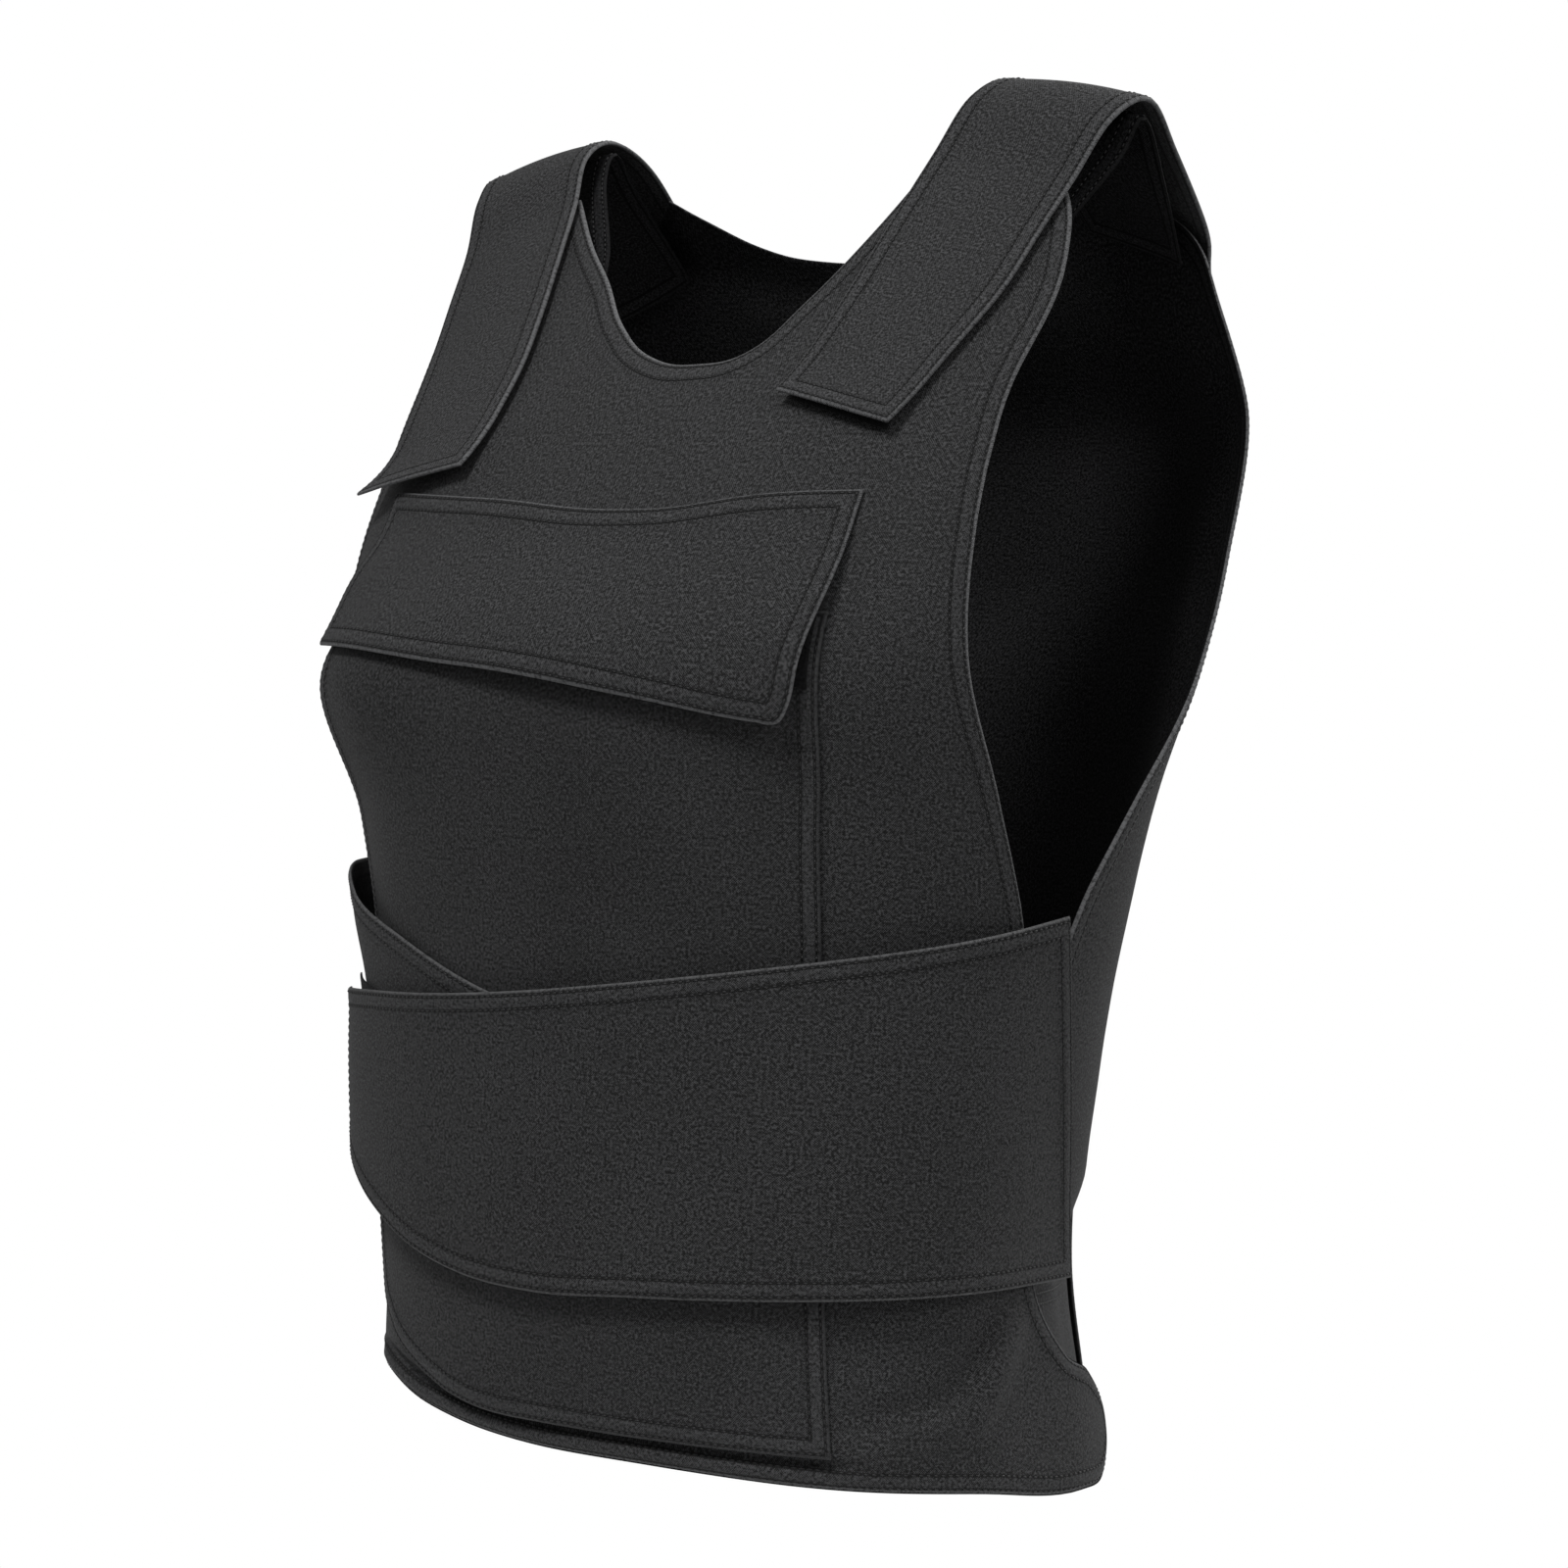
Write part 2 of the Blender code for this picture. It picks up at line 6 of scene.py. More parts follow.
import bmesh
import bpy
from mathutils import Matrix, Vector, kdtree, noise


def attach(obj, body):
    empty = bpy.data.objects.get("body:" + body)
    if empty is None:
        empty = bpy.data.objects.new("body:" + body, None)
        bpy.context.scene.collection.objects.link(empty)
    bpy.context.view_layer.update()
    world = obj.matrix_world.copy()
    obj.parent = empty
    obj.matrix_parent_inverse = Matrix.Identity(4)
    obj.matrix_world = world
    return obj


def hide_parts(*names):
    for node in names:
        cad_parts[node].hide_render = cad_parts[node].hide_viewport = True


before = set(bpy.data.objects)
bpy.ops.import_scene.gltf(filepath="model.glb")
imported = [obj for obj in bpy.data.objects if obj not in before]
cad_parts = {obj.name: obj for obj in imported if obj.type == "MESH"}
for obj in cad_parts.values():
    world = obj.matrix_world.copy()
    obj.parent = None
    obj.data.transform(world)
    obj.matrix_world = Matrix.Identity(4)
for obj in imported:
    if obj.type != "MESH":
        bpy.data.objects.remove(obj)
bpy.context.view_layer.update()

# Front panel
# Two layers of dark twill with a soft insert between them. Every edge is turned under
# and sewn down with two rows of black thread; the lower corners flare into soft lobes.

# The worn shape: level cuts through the torso at the outer face of the panels.
# Columns: height, half width, y of the widest line, y of the front, y of the back,
# squareness of the front, squareness of the back.
TORSO = [
    (-0.030, 0.203, 0.015, -0.004, 0.045, 2.6, 2.6),
    (-0.060, 0.203, 0.012, -0.024, 0.085, 2.6, 2.6),
    (-0.100, 0.201, 0.008, -0.056, 0.110, 2.4, 2.6),
    (-0.150, 0.203, 0.004, -0.100, 0.140, 2.3, 2.7),
    (-0.210, 0.199, 0.000, -0.143, 0.130, 2.3, 2.5),
    (-0.260, 0.191, -0.006, -0.168, 0.104, 2.3, 2.5),
    (-0.310, 0.176, -0.014, -0.166, 0.096, 2.3, 2.4),
    (-0.360, 0.166, -0.024, -0.158, 0.086, 2.3, 2.4),
    (-0.420, 0.158, -0.033, -0.155, 0.076, 2.4, 2.4),
    (-0.500, 0.151, -0.039, -0.155, 0.071, 2.4, 2.4),
    (-0.560, 0.156, -0.038, -0.152, 0.080, 2.4, 2.4),
    (-0.620, 0.160, -0.036, -0.145, 0.084, 2.4, 2.4),
]
RING_STEPS = 160
# The waist is drawn in at the wearer's right, where the belts close. Distance round and
# height of the middle of this dent, its half width and half height, and its depth.
WAIST_DENT = (-0.155, -0.335, 0.045, 0.070, 0.0040)
ROW_STEP = 0.002
NORMAL_REACH = 0.004
RUMPLES = [(11.0, 0.0010), (27.0, 0.00035)]

PANEL_THICK = 0.007
HEM_THICK = 0.0022
PADDING_START = 0.011
PADDING_RAMP = 0.022
PANEL_CELL = 0.0042
# Along the bottom the insert reaches into the edge, which rolls over: the height where this
# starts, the run to full, how far in the roll goes, and how far its outer face falls away
ROLL_TOP = -0.520
ROLL_RUN = 0.020
ROLL_REACH = 0.006
ROLL_DROP = 0.0022
# Above the rolled rim the panel dips under the pocket's lower edge. Distance of the middle
# of the dip from the edge, its half width and depth; then the same for the rim's swell.
# Both fade out beside the pocket, over a short run to this distance round the body
RIM_DIP = (0.0098, 0.0026, 0.0032)
RIM_SWELL = (0.0042, 0.0026, 0.0012)
RIM_END = 0.140
RIM_FADE = 0.020

# Distance round the body from the centre line, height, and 0 at a corner; the rest is smooth
FRONT_NECK = [
    (-0.105, -0.040, 0), (-0.086, -0.062), (-0.062, -0.083), (-0.036, -0.107), (-0.005, -0.125),
    (0.020, -0.130), (0.046, -0.126), (0.060, -0.106), (0.074, -0.080), (0.092, -0.044, 0),
]
SHOULDER_TOP = [(0.125, -0.046), (0.155, -0.060)]
ARMHOLE = [(0.170, -0.095), (0.170, -0.160), (0.208, -0.350), (0.216, -0.440)]
LOBE = [
    (0.221, -0.498), (0.238, -0.528), (0.262, -0.539), (0.282, -0.560), (0.272, -0.578),
    (0.242, -0.583),
]
HEM_LINE = [
    (0.178, -0.577), (0.120, -0.573), (0.050, -0.567), (-0.020, -0.562), (-0.075, -0.553),
    (-0.120, -0.543), (-0.180, -0.537),
]
# The lobe at the wearer's right sits higher, its lower edge more than its upper one
LOBE_UPPER_RISE = 0.016
LOBE_LOWER_RISE = 0.031


def mirrored(outline, rise=0.0):
    """The same rows on the other side of the centre line, run backwards."""
    return [(-across, height + rise, *corner) for across, height, *corner in reversed(outline)]


FRONT_PANEL = (FRONT_NECK + SHOULDER_TOP + ARMHOLE + LOBE + HEM_LINE + mirrored(LOBE[3:], LOBE_LOWER_RISE)
               + mirrored(LOBE[:3], LOBE_UPPER_RISE) + mirrored(ARMHOLE) + mirrored(SHOULDER_TOP))
LOBE_FLARE = 0.0035
LOBE_START = (0.20, -0.500)
LOBE_RAMP = (0.05, 0.030)
FOLD_REACH = 3

# Section through a sewn hem: distance from the edge, height over the plain cloth.
# The dips are the two rows of stitches.
HEM = [
    (0.0000, -0.00070), (0.0005, 0.00000), (0.0012, 0.00035), (0.0018, 0.00008), (0.0024, 0.00036),
    (0.0046, 0.00048), (0.0066, 0.00036), (0.0073, 0.00008), (0.0080, 0.00024), (0.0092, 0.00000),
]
HEM_RISE = max(height for _, height in HEM)
PANEL_HEM = HEM + [(0.0106, 0.0), (0.0124, 0.0), (0.0145, 0.0)]
HEM_MIDDLE = HEM[5][0]
HEM_END = HEM[-1][0]
# The inner face comes up to the edge over this distance, on a panel by this much
EDGE_REACH = 0.0012
PANEL_EDGE = 0.0005
# Rings follow a pattern's edge inwards in strides. A corner's stride is stretched no more
# than the lean allows, and points that meet go on as one.
CURVE_STEPS = 10
CURVE_MERGE = 0.0002
OFFSET_STRIDE = 0.0002
OFFSET_LEAN = 0.35
OFFSET_MEET = 0.0007
RING_MERGE = 0.00001
CELL_MERGE = 0.0003
# Stitches: their rows' distances from the edge, pitch, half length, width and height, the
# share of the half height at which they lie, and the step that finds which way they point
STITCH_ROWS = (0.0018, 0.0073)
STITCH_PITCH = 0.0031
STITCH_SIZE = (0.00125, 0.00042, 0.00032)
STITCH_SEAT = 0.7
STITCH_PROBE = 0.001
TACK_PITCH = 0.0022

TWILL_GREY = (0.0130, 0.0131, 0.0136, 1.0)
# Colour of the painted highlight along the turned edges of the twill
TWILL_RIM_HIGHLIGHT = (0.100, 0.101, 0.104, 1.0)
WEAVE_PITCH = 0.00092
WEAVE_SLANT = math.radians(4)
# Noise in the weave, as scale, detail and roughness: how the yarns waver and drift, where they
# are matted, the yarns' own fibres, and broad clouds
WAVER = (150.0, 2.0)
DRIFT = (110.0, 2.0)
MATTED = (230.0, 3.0)
FIBRES = (820.0, 3.0, 0.75)
CLOUDS = (16.0, 4.0)
SWAY = 3.0
CRISP_BAND = (0.36, 0.66)
CRISP_DOTS = 0.60
MATTED_DOTS = 0.20
# What makes a spot paler: its level, then the shares of the fibres, the clouds and the hem
WEAVE_LEVEL = 0.30
FIBRE_SHARE = 4.4
CLOUD_SHARE = 0.45
HEM_SHARE = 0.18
SHADE_BAND = (-0.10, 1.10)
HEM_BAND = (0.0056, 0.0070)
# Where the fibre noise lets the painted highlight along the turned edge through
RIM_HIGHLIGHT_BAND = (0.25, 0.60)
# Dark and pale spots and the needle's lines, against the cloth's own colour
DARK_SPOT = 0.08
PALE_SPOT = 3.40
NEEDLE_BLACK = 0.10
NEEDLE_SHARE = 0.88
NEEDLE_LINE = 0.0008
FIBRE_HEIGHT = 0.8
WEAVE_DEPTH = 0.00022
THREAD_TWIST = (2200.0, 2.0)
THREAD_DEPTH = 0.0001
THREAD_BLACK = (0.0022, 0.0022, 0.0024, 1.0)
LINING_BLACK = (0.0058, 0.0058, 0.0061, 1.0)
# Colour of the painted highlight along the lining's turned edges
LINING_RIM_HIGHLIGHT = (0.0100, 0.0100, 0.0104, 1.0)


def ease(value):
    value = min(max(value, 0.0), 1.0)
    return value * value * (3.0 - 2.0 * value)


def section(z):
    """The columns of TORSO at any height, blended smoothly between rows."""
    if z >= TORSO[0][0]:
        return TORSO[0][1:]
    if z <= TORSO[-1][0]:
        return TORSO[-1][1:]
    low = 0
    while not TORSO[low][0] >= z >= TORSO[low + 1][0]:
        low += 1
    above, below = TORSO[low], TORSO[low + 1]
    before = TORSO[max(low - 1, 0)]
    after = TORSO[min(low + 2, len(TORSO) - 1)]
    step = below[0] - above[0]
    t = (z - above[0]) / step
    values = []
    for column in range(1, 7):
        slope_a = (below[column] - before[column]) / (below[0] - before[0]) * step
        slope_b = (after[column] - above[column]) / (after[0] - above[0]) * step
        values.append((2 * t**3 - 3 * t**2 + 1) * above[column] + (t**3 - 2 * t**2 + t) * slope_a
                      + (-2 * t**3 + 3 * t**2) * below[column] + (t**3 - t**2) * slope_b)
    return values


level_cuts = {}


def level_cut(row):
    """Half of a level cut, from the front centre to the back centre, with its lengths."""
    if row not in level_cuts:
        half, wide_y, front_y, back_y, square_front, square_back = section(row * ROW_STEP)
        points = []
        for step in range(RING_STEPS + 1):
            angle = math.pi * step / RING_STEPS
            ahead = math.cos(angle)
            power = 2.0 / (square_front if ahead > 0 else square_back)
            depth = (wide_y - front_y) if ahead > 0 else (wide_y - back_y)
            points.append((half * abs(math.sin(angle)) ** power, wide_y - depth * abs(ahead) ** power))
        lengths = [0.0]
        for (x0, y0), (x1, y1) in zip(points, points[1:]):
            lengths.append(lengths[-1] + math.hypot(x1 - x0, y1 - y0))
        level_cuts[row] = (points, lengths)
    return level_cuts[row]


def locate(lengths, along):
    """The stretch of a line that holds a place along it, and the share of it passed there."""
    along = min(max(along, 0.0), lengths[-1])
    low = min(bisect_right(lengths, along) - 1, len(lengths) - 2)
    return low, (along - lengths[low]) / (lengths[low + 1] - lengths[low])


def on_cut(row, s, from_back):
    points, lengths = level_cut(row)
    low, share = locate(lengths, lengths[-1] - abs(s) if from_back else abs(s))
    (x0, y0), (x1, y1) = points[low:low + 2]
    x = x0 + (x1 - x0) * share
    return math.copysign(x, s) if s else x, y0 + (y1 - y0) * share


def on_skin(s, z, from_back):
    place = z / ROW_STEP
    row = math.floor(place)
    share = place - row
    x0, y0 = on_cut(row, s, from_back)
    x1, y1 = on_cut(row + 1, s, from_back)
    return Vector((x0 + (x1 - x0) * share, y0 + (y1 - y0) * share, z))


skin_points = {}


def waist_dent(s, z):
    middle_s, middle_z, half_wide, half_high, depth = WAIST_DENT
    return depth * math.exp(-((s - middle_s) / half_wide) ** 2 - ((z - middle_z) / half_high) ** 2)


def on_body(s, z, lift, from_back=False):
    """Point on the outer face of the vest, moved off it along its own normal. Broad
    shallow rumples move every layer together, so that none cuts into the next."""
    key = (round(s, 5), round(z, 5), from_back)
    if key not in skin_points:
        reach = NORMAL_REACH
        across = on_skin(s + reach, z, from_back) - on_skin(s - reach, z, from_back)
        upward = on_skin(s, z + reach, from_back) - on_skin(s, z - reach, from_back)
        normal = (upward.cross(across) if from_back else across.cross(upward)).normalized()
        point = on_skin(s, z, from_back)
        rumple = sum(noise.noise(point * scale) * height for scale, height in RUMPLES)
        dent = 0.0 if from_back else waist_dent(s, z)
        skin_points[key] = (point + normal * (rumple - dent), normal)
    point, normal = skin_points[key]
    return point + normal * lift


def hem_height(distance, table=HEM):
    if distance >= table[-1][0]:
        return table[-1][1]
    for (near, low), (far, high) in zip(table, table[1:]):
        if distance <= far:
            return low + (high - low) * (distance - near) / (far - near)


def flat_pattern(outline):
    """The pattern lying flat, x across and y up, as one face with a finely cut edge."""
    curve = bpy.data.curves.new("pattern", "CURVE")
    curve.dimensions = "2D"
    curve.fill_mode = "FRONT"
    curve.resolution_u = CURVE_STEPS
    spline = curve.splines.new("BEZIER")
    spline.bezier_points.add(len(outline) - 1)
    spline.use_cyclic_u = True
    for point, (across, height, *corner) in zip(spline.bezier_points, outline):
        point.co = (across, height, 0.0)
        point.handle_left_type = point.handle_right_type = "VECTOR" if corner else "AUTO"
    holder = bpy.data.objects.new("pattern", curve)
    mesh = bpy.data.meshes.new_from_object(holder)
    bm = bmesh.new()
    bm.from_mesh(mesh)
    bpy.data.objects.remove(holder)
    bpy.data.curves.remove(curve)
    bpy.data.meshes.remove(mesh)
    bmesh.ops.remove_doubles(bm, verts=bm.verts, dist=CURVE_MERGE)
    bmesh.ops.dissolve_faces(bm, faces=bm.faces)
    return bm


def divide_edges(bm, longest):
    """Cut the long edges of the outline until none is longer than a cell."""
    cuts = {}
    for edge in bm.edges:
        cuts.setdefault(math.ceil(edge.calc_length() / longest) - 1, []).append(edge)
    for count, edges in sorted(cuts.items()):
        if count:
            bmesh.ops.bisect_edges(bm, edges=edges, cuts=count)


def inward_paths(points, distances):
    """Paths at some distances inside a closed flat path, with one place for each of its
    points. Neighbours that meet in a corner go on as one."""
    spots = list(points)
    groups = [[index] for index in range(len(points))]
    paths = {}
    reached = 0.0
    for distance in distances:
        steps = max(1, round((distance - reached) / OFFSET_STRIDE))
        stride = (distance - reached) / steps
        reached = distance
        for _ in range(steps):
            moved = []
            for index, spot in enumerate(spots):
                before = (spot - spots[index - 1]).normalized()
                after = (spots[(index + 1) % len(spots)] - spot).normalized()
                inward = Vector((-before.y - after.y, before.x + after.x, 0.0)).normalized()
                lean = max(inward.dot(Vector((-before.y, before.x, 0.0))), OFFSET_LEAN)
                moved.append(spot + inward * (stride / lean))
            spots = moved
            index = len(spots) - 1
            while index >= 0:
                if (spots[index] - spots[index - 1]).length < OFFSET_MEET:
                    spots[index - 1] = (spots[index - 1] + spots[index]) / 2
                    groups[index - 1] += groups[index]
                    del spots[index], groups[index]
                    index = min(index, len(spots))
                index -= 1
        places = [None] * len(points)
        for spot, group in zip(spots, groups):
            for index in group:
                places[index] = spot
        paths[distance] = places
    return paths


def cut_cells(bm, face, cell):
    """Divide the middle of a pattern into square cells and leave its hem alone."""
    faces = [face]
    spans = [[vert.co[axis] for vert in face.verts] for axis in (0, 1)]
    for axis, direction in enumerate((Vector((1, 0, 0)), Vector((0, 1, 0)))):
        for index in range(math.ceil(min(spans[axis]) / cell), math.floor(max(spans[axis]) / cell) + 1):
            edges = list(dict.fromkeys(edge for item in faces for edge in item.edges))
            verts = list(dict.fromkeys(vert for item in faces for vert in item.verts))
            cut = bmesh.ops.bisect_plane(bm, geom=faces + edges + verts, dist=CELL_MERGE,
                                         plane_co=direction * (index * cell), plane_no=direction)
            faces = [item for item in cut["geom"] if isinstance(item, bmesh.types.BMFace)]


def sewn_pattern(outline, cell, rows):
    """A flat pattern with rings that follow its edge and cells in the middle. Returns the
    mesh, and the flat path of each ring by its distance from the edge."""
    bm = flat_pattern(outline)
    divide_edges(bm, cell)
    bm.faces.ensure_lookup_table()
    middle = bm.faces[0]
    middle.normal_update()
    if middle.normal.z < 0:
        middle.normal_flip()
    edge = bm.verts.layers.float.new("edge")
    station = bm.verts.layers.int.new("station")
    for index, vert in enumerate(middle.verts):
        vert[station] = index
    outside = [vert.co.copy() for vert in middle.verts]
    distances = [distance for distance, _ in rows]
    paths = inward_paths(outside, distances[1:])
    for distance in distances[1:]:
        bmesh.ops.inset_region(bm, faces=[middle], thickness=OFFSET_STRIDE, use_boundary=True)
        for vert in middle.verts:
            vert.co = paths[distance][vert[station]]
            vert[edge] = distance
    bmesh.ops.remove_doubles(bm, verts=bm.verts, dist=RING_MERGE)
    hem = set(bm.verts)
    cut_cells(bm, max(bm.faces, key=lambda face: len(face.verts)), cell)
    nearest = kdtree.KDTree(len(outside))
    for index, point in enumerate(outside):
        nearest.insert(point, index)
    nearest.balance()
    for vert in bm.verts:
        if vert not in hem:
            vert[edge] = max(nearest.find(vert.co)[2], distances[-1])
    return bm, paths


def new_object(name, data):
    made = bpy.data.objects.new(name, data)
    bpy.context.scene.collection.objects.link(made)
    return made


def meshed(name, bm):
    mesh = bpy.data.meshes.new(name)
    bm.to_mesh(mesh)
    bm.free()
    return new_object(name, mesh)


def make_cloth(name, outline, place, cell, outer, inner, finishes, rows=HEM):
    """Sew one cloth piece: a flat pattern, doubled into two faces, bent into place.
    outer and inner give each face's height from s, z and the distance to the edge. The
    inner face wears the last of the finishes."""
    bm, paths = sewn_pattern(outline, cell, rows)
    cut = bm.loops.layers.uv.new("cut")
    edge = bm.verts.layers.float["edge"]
    doubled = bmesh.ops.extrude_face_region(bm, geom=bm.faces[:])
    raised = [item for item in doubled["geom"] if isinstance(item, bmesh.types.BMVert)]
    # Until the pattern is bent, its outer face lies at height 1 and its inner face at 0
    bmesh.ops.translate(bm, verts=raised, vec=(0, 0, 1))
    for face in bm.faces:
        face.smooth = True
        inside = all(vert.co.z < 0.5 for vert in face.verts)
        face.material_index = len(finishes) - 1 if inside else 0
        for loop in face.loops:
            loop[cut].uv = loop.vert.co.xy
    for vert in bm.verts:
        s, z, side = vert.co
        height = outer if side > 0.5 else inner
        vert.co = place(s, z, height(s, z, vert[edge]))
    many_sided = [face for face in bm.faces if len(face.verts) > 4]
    bmesh.ops.triangulate(bm, faces=many_sided)
    bmesh.ops.recalc_face_normals(bm, faces=bm.faces)
    if bm.calc_volume(signed=True) < 0:
        bmesh.ops.reverse_faces(bm, faces=bm.faces)
    piece = meshed(name, bm)
    for finish in finishes:
        piece.data.materials.append(finish)
    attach(piece, "root")
    return piece, paths


def walk(path, pitch, closed=True):
    """Evenly spaced places along a flat path, each with its direction."""
    points = path + path[:1] if closed else path
    places = []
    carry = pitch / 2
    for start, end in zip(points, points[1:]):
        length = (end - start).length
        while carry < length:
            direction = (end - start) / length
            places.append((start + direction * carry, direction))
            carry += pitch
        carry -= length
    return places


class Strand:
    """One shader socket. Arithmetic on strands adds Math nodes."""

    def __init__(self, tree, socket=None):
        self.tree = tree
        self.socket = socket

    def make(self, kind, settings, inputs, output=0):
        node = self.tree.nodes.new(kind)
        for name, value in settings.items():
            setattr(node, name, value)
        for name, value in inputs.items():
            if isinstance(value, Strand):
                self.tree.links.new(value.socket, node.inputs[name])
            else:
                node.inputs[name].default_value = value
        return Strand(self.tree, node.outputs[output])

    def maths(self, operation, first, second=0.0):
        return self.make("ShaderNodeMath", {"operation": operation}, {0: first, 1: second})

    def __add__(self, other):
        return self.maths("ADD", self, other)

    __radd__ = __add__

    def __sub__(self, other):
        return self.maths("SUBTRACT", self, other)

    def __rsub__(self, other):
        return self.maths("SUBTRACT", other, self)

    def __mul__(self, other):
        return self.maths("MULTIPLY", self, other)

    __rmul__ = __mul__

    def sine(self):
        return self.maths("SINE", self)

    def size(self):
        return self.maths("ABSOLUTE", self)

    def band(self, low, high):
        """0 up to low, 1 from high, smooth between."""
        settings = {"interpolation_type": "SMOOTHSTEP"}
        return self.make("ShaderNodeMapRange", settings, {"Value": self, "From Min": low, "From Max": high})

    def blend(self, first, second):
        """Two colours mixed by this strand."""
        settings = {"data_type": "RGBA"}
        return self.make("ShaderNodeMix", settings, {0: self, 6: first, 7: second}, 2)

    def clouds(self, scale, detail, roughness=0.5):
        """Noise from 0 to 1 at the places that this strand gives."""
        inputs = {"Vector": self, "Scale": scale, "Detail": detail, "Roughness": roughness}
        return self.make("ShaderNodeTexNoise", {}, inputs)

    def bump(self, strength, depth):
        """The normal of a surface that this strand raises."""
        return self.make("ShaderNodeBump", {}, {"Strength": strength, "Distance": depth, "Height": self})


def new_finish(name, roughness, sheen=0.0, specular=0.5):
    material = bpy.data.materials.new(name)
    material.use_nodes = True
    tree = material.node_tree
    shader = tree.nodes["Principled BSDF"]
    settings = {"Roughness": roughness, "Sheen Weight": sheen, "Sheen Roughness": 0.45,
                "Specular IOR Level": specular}
    for socket, value in settings.items():
        shader.inputs[socket].default_value = value
    return material, Strand(tree), shader


def wear(strand, shader, socket):
    strand.tree.links.new(strand.socket, shader.inputs[socket])


def shaded(colour, share):
    """A colour made darker by a share under 1, or paler by one over it."""
    return tuple(channel * share for channel in colour[:3]) + (1.0,)


def twill_finish(name, colour, rim, grain=1.0, rim_highlight_width=0.0013, roughness=0.78, slant=WEAVE_SLANT,
                 relief=0.6, sheen=0.03, specular=0.22):
    """Twill: a close check of raised yarn dots, in places crisp and in places matted. The
    needle's lines are dark, the doubled hem is paler, and a painted highlight in the rim
    colour lies along the turned edge."""
    material, start, shader = new_finish(name, roughness, sheen=sheen, specular=specular)
    cut = start.make("ShaderNodeUVMap", {"uv_map": "cut"}, {})
    edge = start.make("ShaderNodeAttribute", {"attribute_name": "edge"}, {}, 2)
    turned = start.make("ShaderNodeMapping", {}, {"Vector": cut, "Rotation": (0, 0, slant)})
    across = start.make("ShaderNodeSeparateXYZ", {}, {"Vector": turned}, "X")
    along = start.make("ShaderNodeSeparateXYZ", {}, {"Vector": turned}, "Y")
    turns = 2 * math.pi / WEAVE_PITCH
    waver = cut.clouds(*WAVER) * SWAY
    drift = turned.clouds(*DRIFT) * SWAY
    dots = (across * turns + waver).sine() * (along * turns + drift).sine()
    crisp = cut.clouds(*MATTED).band(*CRISP_BAND)
    fibres = turned.clouds(*FIBRES)
    cloudy = cut.clouds(*CLOUDS)
    raised = dots * (crisp * CRISP_DOTS + MATTED_DOTS) * grain
    hem = 1.0 - edge.band(*HEM_BAND)
    shade = (WEAVE_LEVEL + raised + (fibres - 0.5) * (FIBRE_SHARE * grain)
             + (cloudy - 0.5) * CLOUD_SHARE + hem * HEM_SHARE)
    cloth = shade.band(*SHADE_BAND).blend(shaded(colour, DARK_SPOT), shaded(colour, PALE_SPOT))
    lines = [1.0 - (edge - row).size().band(NEEDLE_LINE * 0.4, NEEDLE_LINE) for row in STITCH_ROWS]
    needle = 1.0 - sum(lines) * NEEDLE_SHARE
    sewn = needle.blend(shaded(colour, NEEDLE_BLACK), cloth)
    # Painted highlight along the turned edge, in the rim colour, broken up by the fibre noise
    painted_rim_highlight = (1.0 - edge.band(rim_highlight_width * 0.3, rim_highlight_width)) * fibres.band(*RIM_HIGHLIGHT_BAND)
    wear(painted_rim_highlight.blend(sewn, rim), shader, "Base Color")
    wear(roughness - 0.10 + cloudy * 0.20, shader, "Roughness")
    wear((raised + fibres * FIBRE_HEIGHT).bump(relief, WEAVE_DEPTH), shader, "Normal")
    return material


def thread_finish(name, colour):
    """Black polyester thread with a faint gloss."""
    material, start, shader = new_finish(name, 0.5, specular=0.4)
    twist = start.make("ShaderNodeTexCoord", {}, {}, "Object").clouds(*THREAD_TWIST)
    wear(twist.blend(colour, shaded(colour, 2.6)), shader, "Base Color")
    wear(0.42 + twist * 0.2, shader, "Roughness")
    wear(twist.bump(0.5, THREAD_DEPTH), shader, "Normal")
    return material


def corner_share(s, z, start, ramp):
    return ease((abs(s) - start[0]) / ramp[0]) * ease((start[1] - z) / ramp[1])


def fold_height(folds, s, z):
    """Sum of soft folds. Columns: start, end, half width, height. Each is fullest half way
    along, and it counts for nothing a few half widths off."""
    total = 0.0
    for (s0, z0), (s1, z1), width, height in folds:
        run = Vector((s1 - s0, z1 - z0))
        share = Vector((s - s0, z - z0)).dot(run) / run.length_squared
        share = min(max(share, 0.0), 1.0)
        nearest = Vector((s0, z0)) + run * share
        away = (Vector((s, z)) - nearest).length / width
        if away < FOLD_REACH:
            total += height * math.exp(-away * away) * (0.5 + 0.5 * math.sin(math.pi * share))
    return total


# The insert prints through above the lobe at the wearer's left as a low ridge with a dip
# beside it, and soft folds run from the straps. Columns as in fold_height.
FRONT_FOLDS = [
    ((0.128, -0.561), (0.180, -0.549), 0.0075, 0.0046), ((0.180, -0.549), (0.206, -0.517), 0.0075, 0.0046),
    ((0.132, -0.549), (0.172, -0.540), 0.0065, -0.0030), ((0.172, -0.540), (0.194, -0.514), 0.0065, -0.0030),
    ((0.150, -0.170), (0.165, -0.260), 0.010, 0.0010), ((-0.060, -0.150), (-0.130, -0.176), 0.012, 0.0012),
    ((0.060, -0.150), (0.120, -0.176), 0.014, 0.0008),
]


def place_front(s, z, lift):
    flare = LOBE_FLARE * corner_share(s, z, LOBE_START, LOBE_RAMP)
    return on_body(s, z, lift + flare + fold_height(FRONT_FOLDS, s, z))


def edge_turn(edge, rise):
    """How far the inner face comes up to meet the outer one at the edge."""
    return rise * (1 - ease(edge / EDGE_REACH))


def roll(z, edge):
    """The share of the rolled edge at a height, and how far round the roll a point lies."""
    return ease((ROLL_TOP - z) / ROLL_RUN), math.sqrt(min(edge / ROLL_REACH, 1.0))


def hump(along, middle, half, height=1.0):
    return height * math.exp(-((along - middle) / half) ** 2)


